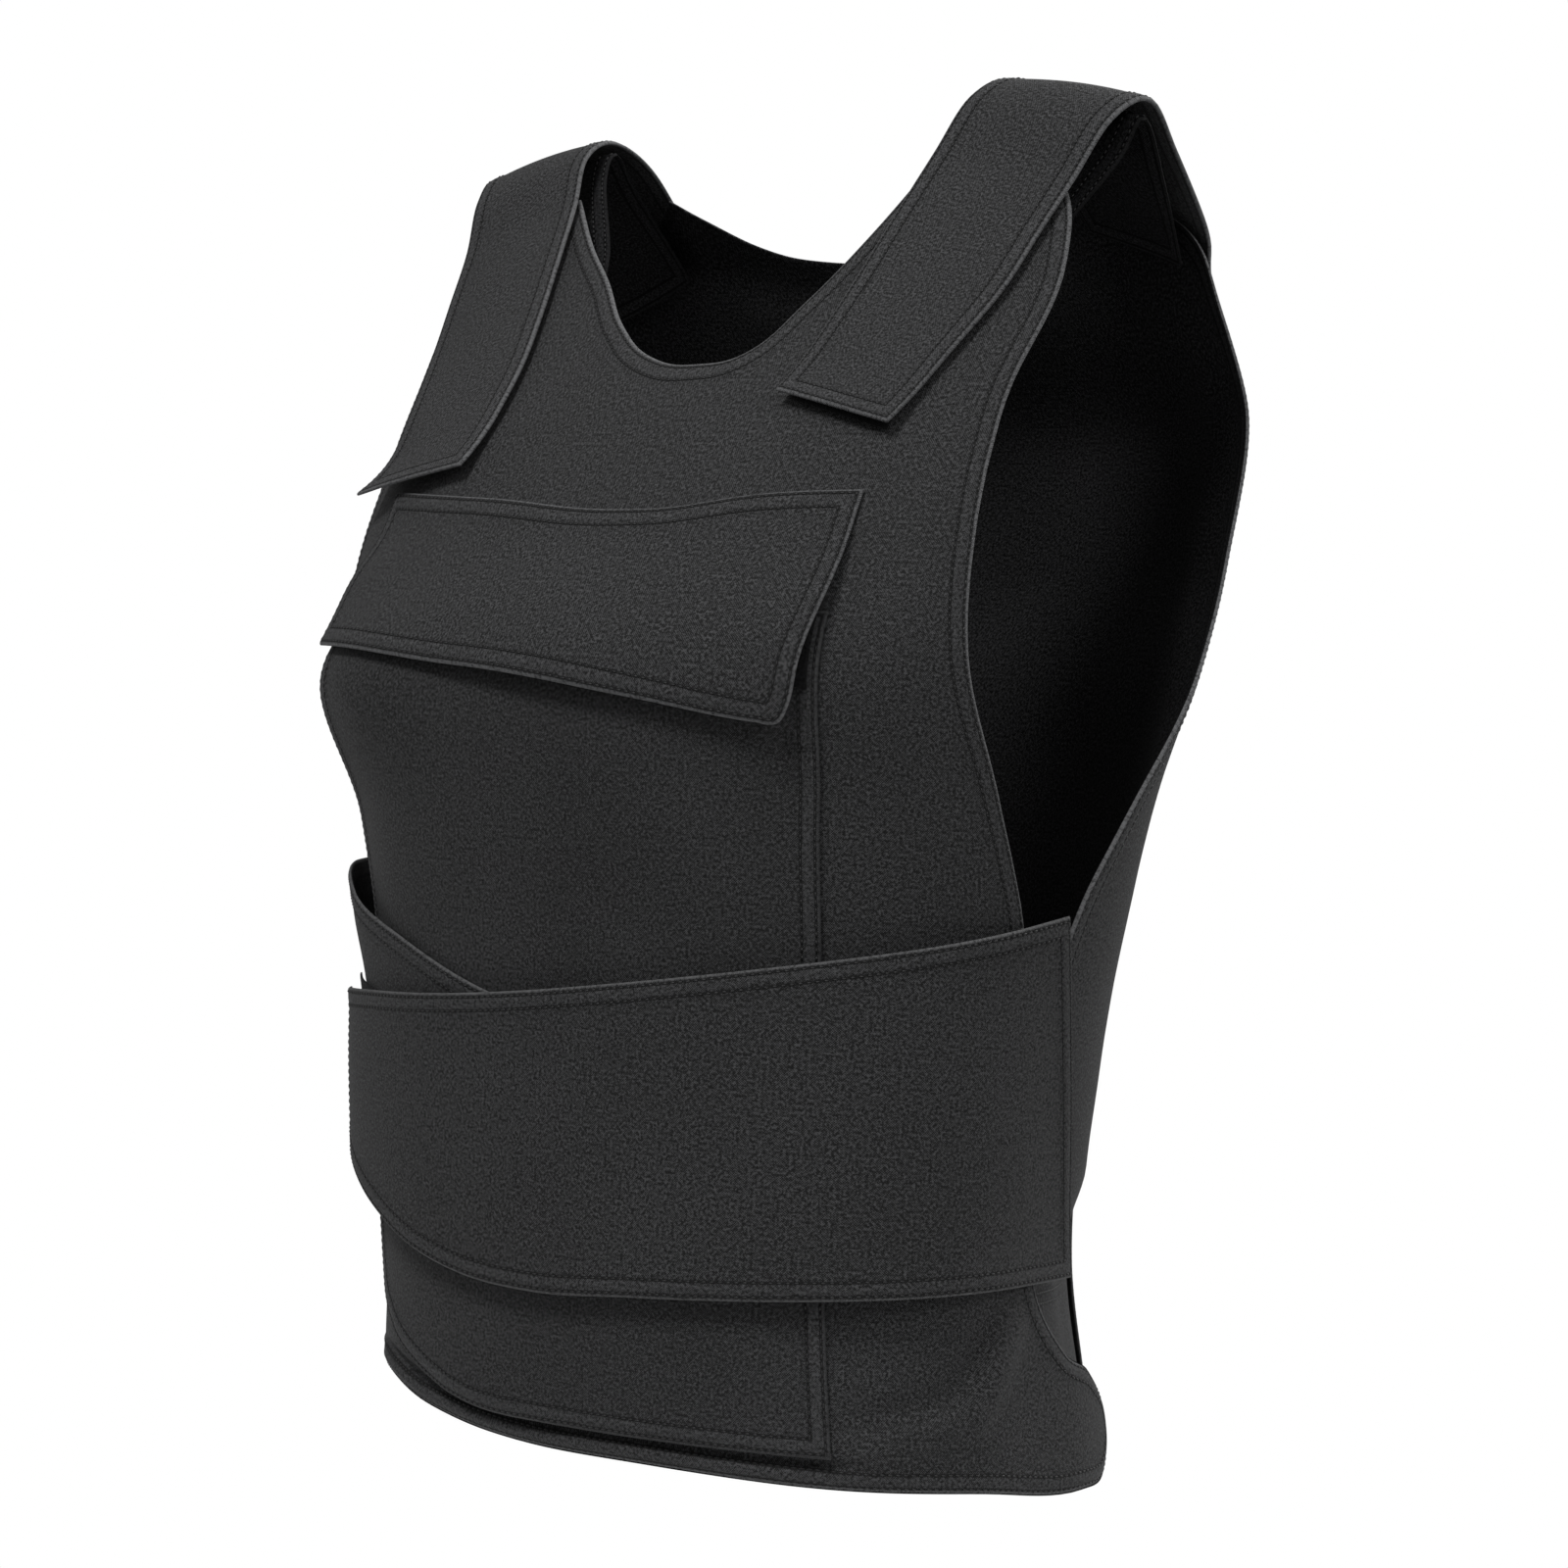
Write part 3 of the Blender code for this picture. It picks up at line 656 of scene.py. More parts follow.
def panel_outer(s, z, edge):
    share, turn = roll(z, edge)
    rim = (hump(edge, *RIM_SWELL) - hump(edge, *RIM_DIP)) * ease((RIM_END - abs(s)) / RIM_FADE)
    return hem_height(edge) - HEM_RISE + share * (rim - ROLL_DROP * (1 - turn))


def panel_inner(s, z, edge):
    share, turn = roll(z, edge)
    flat = (PANEL_THICK - HEM_THICK) * ease((edge - PADDING_START) / PADDING_RAMP)
    rolled = (PANEL_THICK - HEM_THICK) * turn
    return -HEM_THICK - (flat + (rolled - flat) * share) + edge_turn(edge, PANEL_EDGE)


panel_twill = twill_finish("panel_twill", TWILL_GREY, TWILL_RIM_HIGHLIGHT, grain=1.4, rim_highlight_width=0.0018)
black_thread = thread_finish("black_thread", THREAD_BLACK)
black_lining = twill_finish("black_lining", LINING_BLACK, LINING_RIM_HIGHLIGHT, roughness=0.90, relief=0.35, sheen=0.0,
                            specular=0.06)


def sew_rows(name, rows, place, height, top=math.inf, tacks=()):
    """Both rows of stitches round a piece, as far up as top, and short tacks across its hem.
    Each stitch is a bead of thread bent into place with its cloth."""
    lines = [(walk(rows[row], STITCH_PITCH), row) for row in STITCH_ROWS]
    for start, end, distance in tacks:
        lines.append((walk([Vector((*start, 0)), Vector((*end, 0))], TACK_PITCH, False), distance))
    size = Matrix.Diagonal((*STITCH_SIZE, 1.0))
    bm = bmesh.new()
    for path, distance in lines:
        for middle, direction in path:
            s, z = middle.x, middle.y
            if z >= top:
                continue
            level = height(s, z, distance) + STITCH_SIZE[2] * STITCH_SEAT
            centre = place(s, z, level)
            along = place(s + direction.x * STITCH_PROBE, z + direction.y * STITCH_PROBE, level) - centre
            outward = place(s, z, level + STITCH_PROBE) - centre
            side = outward.cross(along).normalized()
            along.normalize()
            outward = along.cross(side)
            turn = Matrix((along, side, outward)).transposed().to_4x4()
            bmesh.ops.create_icosphere(bm, subdivisions=1, radius=1.0,
                                       matrix=Matrix.Translation(centre) @ turn @ size)
    for face in bm.faces:
        face.smooth = True
    piece = meshed(name, bm)
    piece.data.materials.append(black_thread)
    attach(piece, "root")
    return piece


def padded_panel(name, outline, place, tacks=()):
    """A panel with a soft insert, which stands for the node of the same name."""
    piece, rows = make_cloth(name + "_cloth", outline, place, PANEL_CELL, panel_outer, panel_inner,
                             [panel_twill, black_lining], PANEL_HEM)
    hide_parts(name)
    sew_rows(name + "_stitches", rows, place, panel_outer, tacks=tacks)
    return piece


front_panel = padded_panel("front_panel", FRONT_PANEL, place_front)

# Front pocket
# One layer of twill sewn on the front panel along its sides and bottom with two rows of
# thread. It is slack at the wearer's right, where it puffs out under the flap.
LAYER_GAP = 0.0004
EDGE_SLACK = 0.0007
# A layer of cloth with its hem, a bare patch, and the plain middle of a sewn sheet
CLOTH_THICK = 0.0022
PATCH_THICK = 0.0010
SHEET_THICK = 0.0013
SHEET_EDGE = 0.0004
POCKET_CELL = 0.0042
POCKET_STITCH_TOP = -0.247
FRONT_POCKET = [
    (-0.128, -0.236, 0), (0.130, -0.238, 0), (0.130, -0.285), (0.123, -0.360), (0.121, -0.480),
    (0.122, -0.561, 0), (0.065, -0.557), (0.000, -0.553), (-0.045, -0.548), (-0.082, -0.536),
    (-0.108, -0.521), (-0.122, -0.505), (-0.123, -0.400),
]
POCKET_FOLDS = [
    ((-0.055, -0.542), (0.000, -0.550), 0.008, 0.0022), ((-0.100, -0.330), (-0.040, -0.345), 0.020, 0.0010),
    ((0.020, -0.320), (0.090, -0.345), 0.022, 0.0008), ((0.095, -0.300), (0.100, -0.350), 0.010, -0.0006),
]
# The bar tack on the pocket's side seam at the wearer's left, below the flap: start, end,
# distance from the edge
POCKET_TACK = [
    ((0.1185, -0.290), (0.1275, -0.290), HEM_MIDDLE), ((0.1185, -0.290), (0.1185, -0.284), HEM_MIDDLE),
]
# Colour of a weaker painted highlight along the pocket's turned edges
POCKET_RIM_HIGHLIGHT = (0.0300, 0.0303, 0.0312, 1.0)
PUFF = 0.0115
PUFF_SIDE = (-0.030, -0.080)
PUFF_TOP = (-0.215, -0.050)
PUFF_FOOT = (-0.315, 0.070)
SLACK = 0.0008
SLACK_START = 0.010
SLACK_RAMP = 0.030
MEASURE_STEPS = 40


def puff(s, z):
    """How far the slack corner of the pocket stands off, under the flap too."""
    side = ease((s - PUFF_SIDE[0]) / PUFF_SIDE[1])
    top = ease((z - PUFF_TOP[0]) / PUFF_TOP[1])
    return PUFF * side * top * ease((z - PUFF_FOOT[0]) / PUFF_FOOT[1])


def place_pocket(s, z, lift):
    fold = max(fold_height(POCKET_FOLDS, s, z), -LAYER_GAP)
    return place_front(s, z, lift + LAYER_GAP + puff(s, z) + fold)


def sewn_face(thick):
    """The outer face of a sheet with a plain thickness and a sewn hem."""
    return lambda s, z, edge: thick + hem_height(edge)


sheet_outer = sewn_face(SHEET_THICK)


def pocket_outer(s, z, edge):
    return sheet_outer(s, z, edge) + SLACK * ease((edge - SLACK_START) / SLACK_RAMP)


def sheet_inner(s, z, edge):
    return edge_turn(edge, SHEET_EDGE)


def cut_size(outline, place):
    """Width and length of a pattern, measured along the bent cloth through its middle."""
    left, right = (pick(row[0] for row in outline) for pick in (min, max))
    low, high = (pick(row[1] for row in outline) for pick in (min, max))
    steps = [index / MEASURE_STEPS for index in range(MEASURE_STEPS + 1)]
    wide = [place(left + (right - left) * share, (low + high) / 2, 0.0) for share in steps]
    long = [place((left + right) / 2, low + (high - low) * share, 0.0) for share in steps]
    return tuple(sum((b - a).length for a, b in zip(line, line[1:])) for line in (wide, long))


def declare_sheet(piece, outline, place):
    width, length = cut_size(outline, place)


def soft_sheet(name, outline, place, cloth, cell=POCKET_CELL,
               outer=sheet_outer, top=math.inf, tacks=()):
    """A sewn sheet of cloth that stands for the node of the same name."""
    piece, rows = make_cloth(name + "_cloth", outline, place, cell, outer, sheet_inner, [cloth])
    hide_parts(name)
    stitches = sew_rows(name + "_stitches", rows, place, outer, top, tacks)
    declare_sheet(piece, outline, place)
    return piece


pocket_twill = twill_finish("pocket_twill", TWILL_GREY, POCKET_RIM_HIGHLIGHT)
front_pocket = soft_sheet("front_pocket", FRONT_POCKET, place_pocket,
                          pocket_twill, outer=pocket_outer, top=POCKET_STITCH_TOP, tacks=POCKET_TACK)

# Front flap
# A doubled flap sewn across the chest above the pocket. It closes with a strip of
# hook and loop on the pocket's mouth, and its free edge stands off.
POCKET_PATCH_LIFT = LAYER_GAP + CLOTH_THICK + LAYER_GAP
FLAP_SEAM = -0.192
FLAP_STAND = 0.0085
FLAP_STAND_RAMP = 0.075
FLAP_CELL = 0.0036
FRONT_FLAP = [
    (-0.132, -0.175, 0), (-0.060, -0.183), (0.038, -0.194), (0.090, -0.190), (0.128, -0.190, 0),
    (0.129, -0.225), (0.124, -0.257), (0.1195, -0.2755), (0.116, -0.2795), (0.108, -0.279),
    (0.060, -0.270), (0.000, -0.260), (-0.080, -0.250), (-0.133, -0.244, 0),
]
FLAP_PATCH = [
    (-0.120, -0.2385, 0), (0.1265, -0.2405, 0), (0.1265, -0.268, 0), (0.100, -0.262), (0.000, -0.255),
    (-0.120, -0.2445, 0),
]
FLAP_WAVE = 0.0010
FLAP_WAVE_RATE = 52
FLAP_WAVE_START = 0.8
FLAP_PUFF = 0.6
FLAP_BOW = 0.0040
BOW_SIDE = (-0.075, -0.050)
BOW_MIDDLE = (-0.217, 0.017)
HOOK_BLACK = (0.0022, 0.0022, 0.0023, 1.0)
PATCH_EDGE = [(0.0000, -0.0003), (0.0006, 0.0000), (0.0015, 0.0001)]
PATCH_FACE = PATCH_THICK * 0.9
PATCH_CELL = 0.004
NAP = (900.0, 4.0)
CLUMP_SCALE = 700.0
CLUMP_SHARE = 0.3
NAP_BAND = (0.25, 0.85)
NAP_DEPTH = 0.0006


def hook_finish(name, colour):
    """The loop side of hook and loop: a dull matted nap."""
    material, start, shader = new_finish(name, 0.95, sheen=0.04, specular=0.1)
    place = start.make("ShaderNodeTexCoord", {}, {}, "Object")
    nap = place.clouds(*NAP)
    clumps = start.make("ShaderNodeTexVoronoi", {}, {"Vector": place, "Scale": CLUMP_SCALE})
    matted = (nap * (1.0 - CLUMP_SHARE) + clumps * CLUMP_SHARE).band(*NAP_BAND)
    wear(matted.blend(colour, shaded(colour, 4.0)), shader, "Base Color")
    wear(0.85 + nap * 0.15, shader, "Roughness")
    wear((nap + clumps).bump(0.9, NAP_DEPTH), shader, "Normal")
    return material


hook_black = hook_finish("hook_black", HOOK_BLACK)


def patch_outer(s, z, edge):
    return PATCH_FACE + hem_height(edge, PATCH_EDGE)


def patch_inner(s, z, edge):
    return 0.0


def hook_patch(name, outline, place):
    piece, _ = make_cloth(name + "_nap", outline, place, PATCH_CELL, patch_outer, patch_inner, [hook_black],
                          PATCH_EDGE)
    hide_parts(name)
    declare_sheet(piece, outline, place)
    return piece


def flap_open(z):
    """0 along a flap's seam, 1 where it hangs free."""
    return ease((FLAP_SEAM - z) / FLAP_STAND_RAMP)


def flap_lift(z):
    return LAYER_GAP + FLAP_STAND * flap_open(z)


def flap_bow(s, z):
    """The flap's end at the wearer's right bows out between its seam and its free edge."""
    side = ease((s - BOW_SIDE[0]) / BOW_SIDE[1])
    return FLAP_BOW * side * hump(z, *BOW_MIDDLE)


def place_front_flap(s, z, lift):
    wave = FLAP_WAVE * math.sin(s * FLAP_WAVE_RATE + FLAP_WAVE_START) * flap_open(z)
    return place_front(s, z, lift + flap_lift(z) + FLAP_PUFF * puff(s, z) + flap_bow(s, z) + wave)


def place_flap_patch(s, z, lift):
    return place_front(s, z, lift + POCKET_PATCH_LIFT + puff(s, z))


hook_patch("flap_patch", FLAP_PATCH, place_flap_patch)
flap_twill = twill_finish("flap_twill", TWILL_GREY, TWILL_RIM_HIGHLIGHT, grain=1.9)
soft_sheet("front_flap", FRONT_FLAP, place_front_flap, flap_twill, cell=FLAP_CELL)

# Back panel
# The same make as the front panel, in one piece with the wings that reach round the
# sides. Its lower corners tuck inside the lobes of the front panel.
BACK_PANEL = [
    (0.000, -0.066), (0.040, -0.063), (0.070, -0.055), (0.090, -0.042), (0.100, -0.034, 0),
    (0.138, -0.056), (0.168, -0.076), (0.179, -0.096), (0.185, -0.140), (0.184, -0.190),
    (0.190, -0.235), (0.202, -0.275), (0.220, -0.325), (0.229, -0.356), (0.229, -0.395),
    (0.218, -0.440), (0.206, -0.500), (0.200, -0.530), (0.182, -0.548), (0.120, -0.560),
    (0.000, -0.566),
]
BACK_PANEL += mirrored(BACK_PANEL[1:-1])
CORNER_TUCK = 0.0095
TUCK_START = (0.11, -0.458)
TUCK_RAMP = (0.05, 0.038)
# Two rows of stitches across the lower corner of each wing
WING_TACK_ENDS = (0.150, 0.200)
WING_TACK_HEIGHTS = (-0.506, -0.510)
WING_TACKS = [((side * WING_TACK_ENDS[0], height), (side * WING_TACK_ENDS[1], height), HEM_END)
              for side in (-1, 1) for height in WING_TACK_HEIGHTS]
NECKLINE_FOOT = -0.078
NECKLINE_REACH = 0.112
BACK_FOLDS = [
    ((-0.130, -0.300), (-0.040, -0.330), 0.020, 0.0012), ((0.060, -0.290), (0.150, -0.270), 0.018, 0.0012),
    ((-0.060, -0.120), (0.070, -0.125), 0.016, 0.0010),
]


def on_back(s, z, lift):
    return on_body(s, z, lift + fold_height(BACK_FOLDS, s, z), True)


def place_back(s, z, lift):
    return on_back(s, z, lift - CORNER_TUCK * corner_share(s, z, TUCK_START, TUCK_RAMP))


back_panel = padded_panel("back_panel", BACK_PANEL, place_back, WING_TACKS)
# The back neckline is turned to the inside, so no painted edge highlight shows there
for point, mark in zip(back_panel.data.vertices, back_panel.data.attributes["edge"].data):
    if point.co.z > NECKLINE_FOOT and abs(point.co.x) < NECKLINE_REACH:
        mark.value += HEM_END

# Back pocket and flap
# The back carries a pocket and a flap of the same twill, sewn on as at the front. Here the
# pocket lies flat and the flap hangs straight.
BACK_POCKET_HALF = [
    (0.125, -0.236, 0), (0.122, -0.380), (0.120, -0.470), (0.120, -0.548, 0), (0.060, -0.554),
]
BACK_FLAP_HALF = [
    (0.130, -0.186, 0), (0.128, -0.240), (0.122, -0.270), (0.116, -0.274), (0.060, -0.270),
]


def both_halves(half, top, foot):
    """An outline from its half, with what lies on the centre line at its top and foot."""
    return mirrored(half[:1]) + top + half + foot + mirrored(half[1:])


def place_back_pocket(s, z, lift):
    return on_back(s, z, lift + LAYER_GAP)


def place_back_flap(s, z, lift):
    return on_back(s, z, lift + flap_lift(z))


BACK_POCKET = both_halves(BACK_POCKET_HALF, [], [(0.000, -0.556)])
BACK_FLAP = both_halves(BACK_FLAP_HALF, [(0.000, -0.188)], [])
soft_sheet("back_pocket", BACK_POCKET, place_back_pocket, pocket_twill,
           outer=pocket_outer)
soft_sheet("back_flap", BACK_FLAP, place_back_flap, flap_twill, cell=FLAP_CELL)

# Belts
# Two wide belts of doubled twill are sewn to the wings of the back panel. The one from
# the wearer's left crosses over the other and closes on its patch of hook and loop.
UNDER_BELT_LIFT = POCKET_PATCH_LIFT + EDGE_SLACK
BELT_PATCH_LIFT = UNDER_BELT_LIFT + CLOTH_THICK + LAYER_GAP
OVER_BELT_LIFT = BELT_PATCH_LIFT + PATCH_THICK + LAYER_GAP + EDGE_SLACK
# Colour of a weaker painted highlight along the belts' turned edges
BELT_RIM_HIGHLIGHT = (0.070, 0.0705, 0.072, 1.0)
BELT_ROOT = 0.236
BELT_RISE = 0.10
BRIDGE = 0.005
BRIDGE_SIDE = (-0.075, -0.130)
BRIDGE_FOOT = -0.395
BRIDGE_RUN = 0.045
BRIDGE_END_RUN = 0.05
# The over belt's edges are level at the front. The top climbs to the wearer's left side,
# and the bottom climbs to the belt's end.
BELT_TOP = -0.384
BELT_BOTTOM = -0.500
TOP_CLIMB = 0.031
TOP_CLIMB_START = -0.060
TOP_CLIMB_RUN = 0.306
TOP_CURVE = 1.6
BOTTOM_CLIMB = 0.034
BOTTOM_CLIMB_RUN = 0.120
BOTTOM_CURVE = 1.8
BELT_END = -0.155
BELT_END_LIFT = 0.0035
BELT_END_REACH = (-0.095, -0.060)
BELT_SIDE_TOP = 0.234
BELT_SIDE_BOTTOM = 0.250
BELT_EDGE_STEPS = 8


def belt_top(s):
    return BELT_TOP + TOP_CLIMB * max((s - TOP_CLIMB_START) / TOP_CLIMB_RUN, 0.0) ** TOP_CURVE


def belt_bottom(s):
    return BELT_BOTTOM + BOTTOM_CLIMB * max(-s / BOTTOM_CLIMB_RUN, 0.0) ** BOTTOM_CURVE


def belt_edge(level, side):
    """One edge of the over belt, from its free end to the side where it is sewn on."""
    spread = [BELT_END + (side - BELT_END) * step / BELT_EDGE_STEPS for step in range(BELT_EDGE_STEPS + 1)]
    return [(s, level(s), *([0] if s in (spread[0], spread[-1]) else [])) for s in spread]


OVER_BELT = belt_edge(belt_top, BELT_SIDE_TOP) + belt_edge(belt_bottom, BELT_SIDE_BOTTOM)[::-1]
UNDER_BELT = [
    (0.060, -0.402, 0), (0.062, -0.466, 0), (0.000, -0.464), (-0.090, -0.454), (-0.170, -0.450),
    (-0.248, -0.460, 0), (-0.245, -0.420), (-0.244, -0.370), (-0.246, -0.325, 0), (-0.200, -0.328),
    (-0.150, -0.334), (-0.110, -0.350), (-0.070, -0.366), (-0.022, -0.384), (0.020, -0.395),
]
BELT_PATCH = [(-0.146, -0.378, 0), (-0.030, -0.394, 0), (-0.030, -0.452, 0), (-0.146, -0.444, 0)]


def belt_lift(s, full):
    return LAYER_GAP + (full - LAYER_GAP) * ease((BELT_ROOT - abs(s)) / BELT_RISE)


def bridge(s, z):
    """How far the belts stand off the waist at the wearer's right, towards their upper edges."""
    side = ease((s - BRIDGE_SIDE[0]) / (BRIDGE_SIDE[1] - BRIDGE_SIDE[0]))
    end = ease((s + BELT_ROOT) / BRIDGE_END_RUN)
    return BRIDGE * side * ease((z - BRIDGE_FOOT) / BRIDGE_RUN) * end


def place_under_belt(s, z, lift):
    return on_body(s, z, lift + belt_lift(s, UNDER_BELT_LIFT) + bridge(s, z))


def place_belt_patch(s, z, lift):
    return on_body(s, z, lift + BELT_PATCH_LIFT + bridge(s, z))


def place_over_belt(s, z, lift):
    end = BELT_END_LIFT * ease((s - BELT_END_REACH[0]) / BELT_END_REACH[1])
    return on_body(s, z, lift + belt_lift(max(s, 0), OVER_BELT_LIFT) + bridge(s, z) + end)


belt_twill = twill_finish("belt_twill", TWILL_GREY, BELT_RIM_HIGHLIGHT, grain=1.4, rim_highlight_width=0.0011)
belt_under = soft_sheet("belt_under", UNDER_BELT, place_under_belt,
                        belt_twill)
belt_patch = hook_patch("belt_patch", BELT_PATCH, place_belt_patch)
soft_sheet("belt_over", OVER_BELT, place_over_belt, belt_twill)

# Shoulder straps
# Wide doubled straps sewn to the back panel. They pass over the shoulders and close on
# patches of hook and loop high on the front panel, where their ends lift a little.
STRAP_LIFT = LAYER_GAP + PATCH_THICK + 2 * LAYER_GAP
STRAP_BACK_LIFT = LAYER_GAP + 2 * EDGE_SLACK
STRAP_PATCH_LEFT = [(0.079, -0.115, 0), (0.134, -0.133, 0), (0.127, -0.1655, 0), (0.080, -0.1510, 0)]
STRAP_PATCH_RIGHT = [(-0.092, -0.110, 0), (-0.152, -0.114, 0), (-0.157, -0.160, 0), (-0.091, -0.158, 0)]
# A strap's rows from its back end, each with its inner and outer end: distance round and
# height on the back and on the front, x, y, z free over the ridge of the shoulder
STRAP_LEFT = {
    "back": [((0.112, -0.090), (0.166, -0.104)), ((0.110, -0.072), (0.169, -0.089)),
             ((0.109, -0.055), (0.172, -0.074))],
    "free": [((0.1075, 0.045, -0.0245), (0.172, 0.043, -0.045)),
             ((0.1060, 0.020, -0.012), (0.179, 0.014, -0.0295)),
             ((0.1010, -0.001, -0.021), (0.174, -0.006, -0.039))],
    "front": [((0.093, -0.046), (0.164, -0.064)), ((0.087, -0.072), (0.157, -0.086)),
              ((0.083, -0.098), (0.151, -0.111)), ((0.080, -0.124), (0.140, -0.139)),
              ((0.076, -0.151), (0.129, -0.166))],
}
STRAP_RIGHT = {
    "back": [((-0.110, -0.088), (-0.170, -0.104)), ((-0.108, -0.070), (-0.172, -0.089)),
             ((-0.107, -0.053), (-0.173, -0.072))],
    "free": [((-0.1065, 0.045, -0.0225), (-0.173, 0.043, -0.040)),
             ((-0.1080, 0.020, -0.0125), (-0.174, 0.014, -0.0245)),
             ((-0.1060, -0.001, -0.022), (-0.167, -0.006, -0.037))],
    "front": [((-0.101, -0.046), (-0.163, -0.062)), ((-0.095, -0.072), (-0.161, -0.086)),
              ((-0.087, -0.098), (-0.159, -0.107)), ((-0.079, -0.123), (-0.153, -0.131)),
              ((-0.075, -0.148), (-0.151, -0.155)), ((-0.078, -0.171), (-0.154, -0.179))],
}
STRAP_CROWN = 0.0025
STRAP_WIDTH = 0.068
STRAP_STEP = 0.003
BED_STEPS = 10
# A point well inside the torso, away from which every strap's outer face looks
BED_INSIDE = Vector((0, 0, -0.3))
STRAP_THICK = 0.0018
STRAP_CELL = 0.0036
# How far a strap's free end lifts, over what reach, and how much more its outer corner lifts
# at the wearer's right
END_LIFT = 0.0030
END_REACH = 0.030
OUTER_CORNER_LIFT = 0.0055
STRAP_GREY = (0.0150, 0.0151, 0.0157, 1.0)


def row_point(where, inner, outer, share, back_lift, front_lift):
    if where == "free":
        point = Vector(inner).lerp(Vector(outer), share)
        point.z += STRAP_CROWN * 4 * share * (1 - share)
        return point
    s = inner[0] + (outer[0] - inner[0]) * share
    z = inner[1] + (outer[1] - inner[1]) * share
    return place_front(s, z, front_lift) if where == "front" else on_body(s, z, back_lift, True)


def smooth_between(lines, along, column):
    low = min(int(along), len(lines) - 2)
    t = along - low
    before = lines[max(low - 1, 0)][column]
    start, end = lines[low][column], lines[low + 1][column]
    after = lines[min(low + 2, len(lines) - 1)][column]
    return 0.5 * (2 * start + (end - before) * t + (2 * before - 5 * start + 4 * end - after) * t * t
                  + (3 * start - before - 3 * end + after) * t**3)


def strap_bed(rows, back_lift, front_lift):
    """The surface that a strap's underside lies on. Returns its length and a function that
    bends the flat strap onto it: across from the inner edge, along from the back end."""
    columns = round(STRAP_WIDTH / STRAP_STEP)
    shares = [column / columns for column in range(columns + 1)]
    lines = [[row_point(where, *row, share, back_lift, front_lift) for share in shares]
             for where, stretch in rows.items() for row in stretch]
    fine = [[smooth_between(lines, along / BED_STEPS, column) for column in range(columns + 1)]
            for along in range((len(lines) - 1) * BED_STEPS + 1)]
    lengths = [0.0]
    for line, after in zip(fine, fine[1:]):
        lengths.append(lengths[-1] + (after[columns // 2] - line[columns // 2]).length)

    def between(across, along):
        share = min(max(across / STRAP_WIDTH, 0.0), 1.0) * columns
        column = min(int(share), columns - 1)
        low, step = locate(lengths, along)
        near, far = (line[column].lerp(line[column + 1], share - column) for line in fine[low:low + 2])
        return near.lerp(far, step)

    def place(across, along, lift):
        reach = STRAP_STEP
        sideways = between(across + reach, along) - between(across - reach, along)
        lengthways = between(across, along + reach) - between(across, along - reach)
        normal = sideways.cross(lengthways).normalized()
        point = between(across, along)
        if normal.dot(point - BED_INSIDE) < 0:
            normal = -normal
        return point + normal * lift

    return lengths[-1], place


def strap_band(start, end):
    """The flat pattern of a strap, from start to end along it."""
    return [(0.0, start, 0), (STRAP_WIDTH, start, 0), (STRAP_WIDTH, end, 0), (0.0, end, 0)]


strap_twill = twill_finish("strap_twill", STRAP_GREY, TWILL_RIM_HIGHLIGHT, grain=1.4, slant=-WEAVE_SLANT)
for name, outline in (("strap_patch_left", STRAP_PATCH_LEFT), ("strap_patch_right", STRAP_PATCH_RIGHT)):
    hook_patch(name, outline, lambda s, z, lift: place_front(s, z, lift + LAYER_GAP))
for name, strap_rows in (("strap_left", STRAP_LEFT), ("strap_right", STRAP_RIGHT)):
    length, lay = strap_bed(strap_rows, STRAP_BACK_LIFT, STRAP_LIFT)

    def place_strap(across, along, lift):
        free = max(1 - (length - along) / END_REACH, 0.0)
        corner = OUTER_CORNER_LIFT * (across / STRAP_WIDTH) ** 2 if name == "strap_right" else 0.0
        return lay(across, along, lift + (END_LIFT + corner) * free ** 2)

    soft_sheet(name, strap_band(0.0, length), place_strap, strap_twill,
               STRAP_CELL, sewn_face(STRAP_THICK))

# Liners
# A duller black band under each strap, which touches the wearer's shoulder. It is sewn
# inside the front panel and inside the back.
LINER_THICK = 0.0016
LINER_FACE = 0.0010
LINER_SEAM = 0.016
LINER_LIFT = -(PANEL_THICK + LAYER_GAP + 2 * EDGE_SLACK + LINER_THICK)
LINER_LEFT = {
    "back": [((0.113, -0.078), (0.166, -0.100)), ((0.112, -0.057), (0.168, -0.081))],
    "free": [((0.109, 0.034, -0.036), (0.173, 0.032, -0.057)),
             ((0.107, 0.019, -0.0165), (0.177, 0.013, -0.036)),
             ((0.102, 0.008, -0.032), (0.172, 0.003, -0.053))],
    "front": [((0.096, -0.060), (0.160, -0.076)), ((0.096, -0.078), (0.155, -0.090))],
}
LINER_RIGHT = {
    "back": [((-0.112, -0.078), (-0.166, -0.100)), ((-0.110, -0.057), (-0.168, -0.080))],
    "free": [((-0.1065, 0.034, -0.034), (-0.170, 0.032, -0.053)),
             ((-0.1060, 0.019, -0.0175), (-0.170, 0.013, -0.0300)),
             ((-0.1030, 0.008, -0.032), (-0.168, 0.003, -0.048))],
    "front": [((-0.082, -0.062), (-0.158, -0.076)), ((-0.072, -0.088), (-0.150, -0.098))],
}

for name, liner_rows in (("liner_left", LINER_LEFT), ("liner_right", LINER_RIGHT)):
    length, lay = strap_bed(liner_rows, LINER_LIFT, LINER_LIFT)
    soft_sheet(name, strap_band(LINER_SEAM, length), lay, black_lining,
               STRAP_CELL, sewn_face(LINER_FACE))

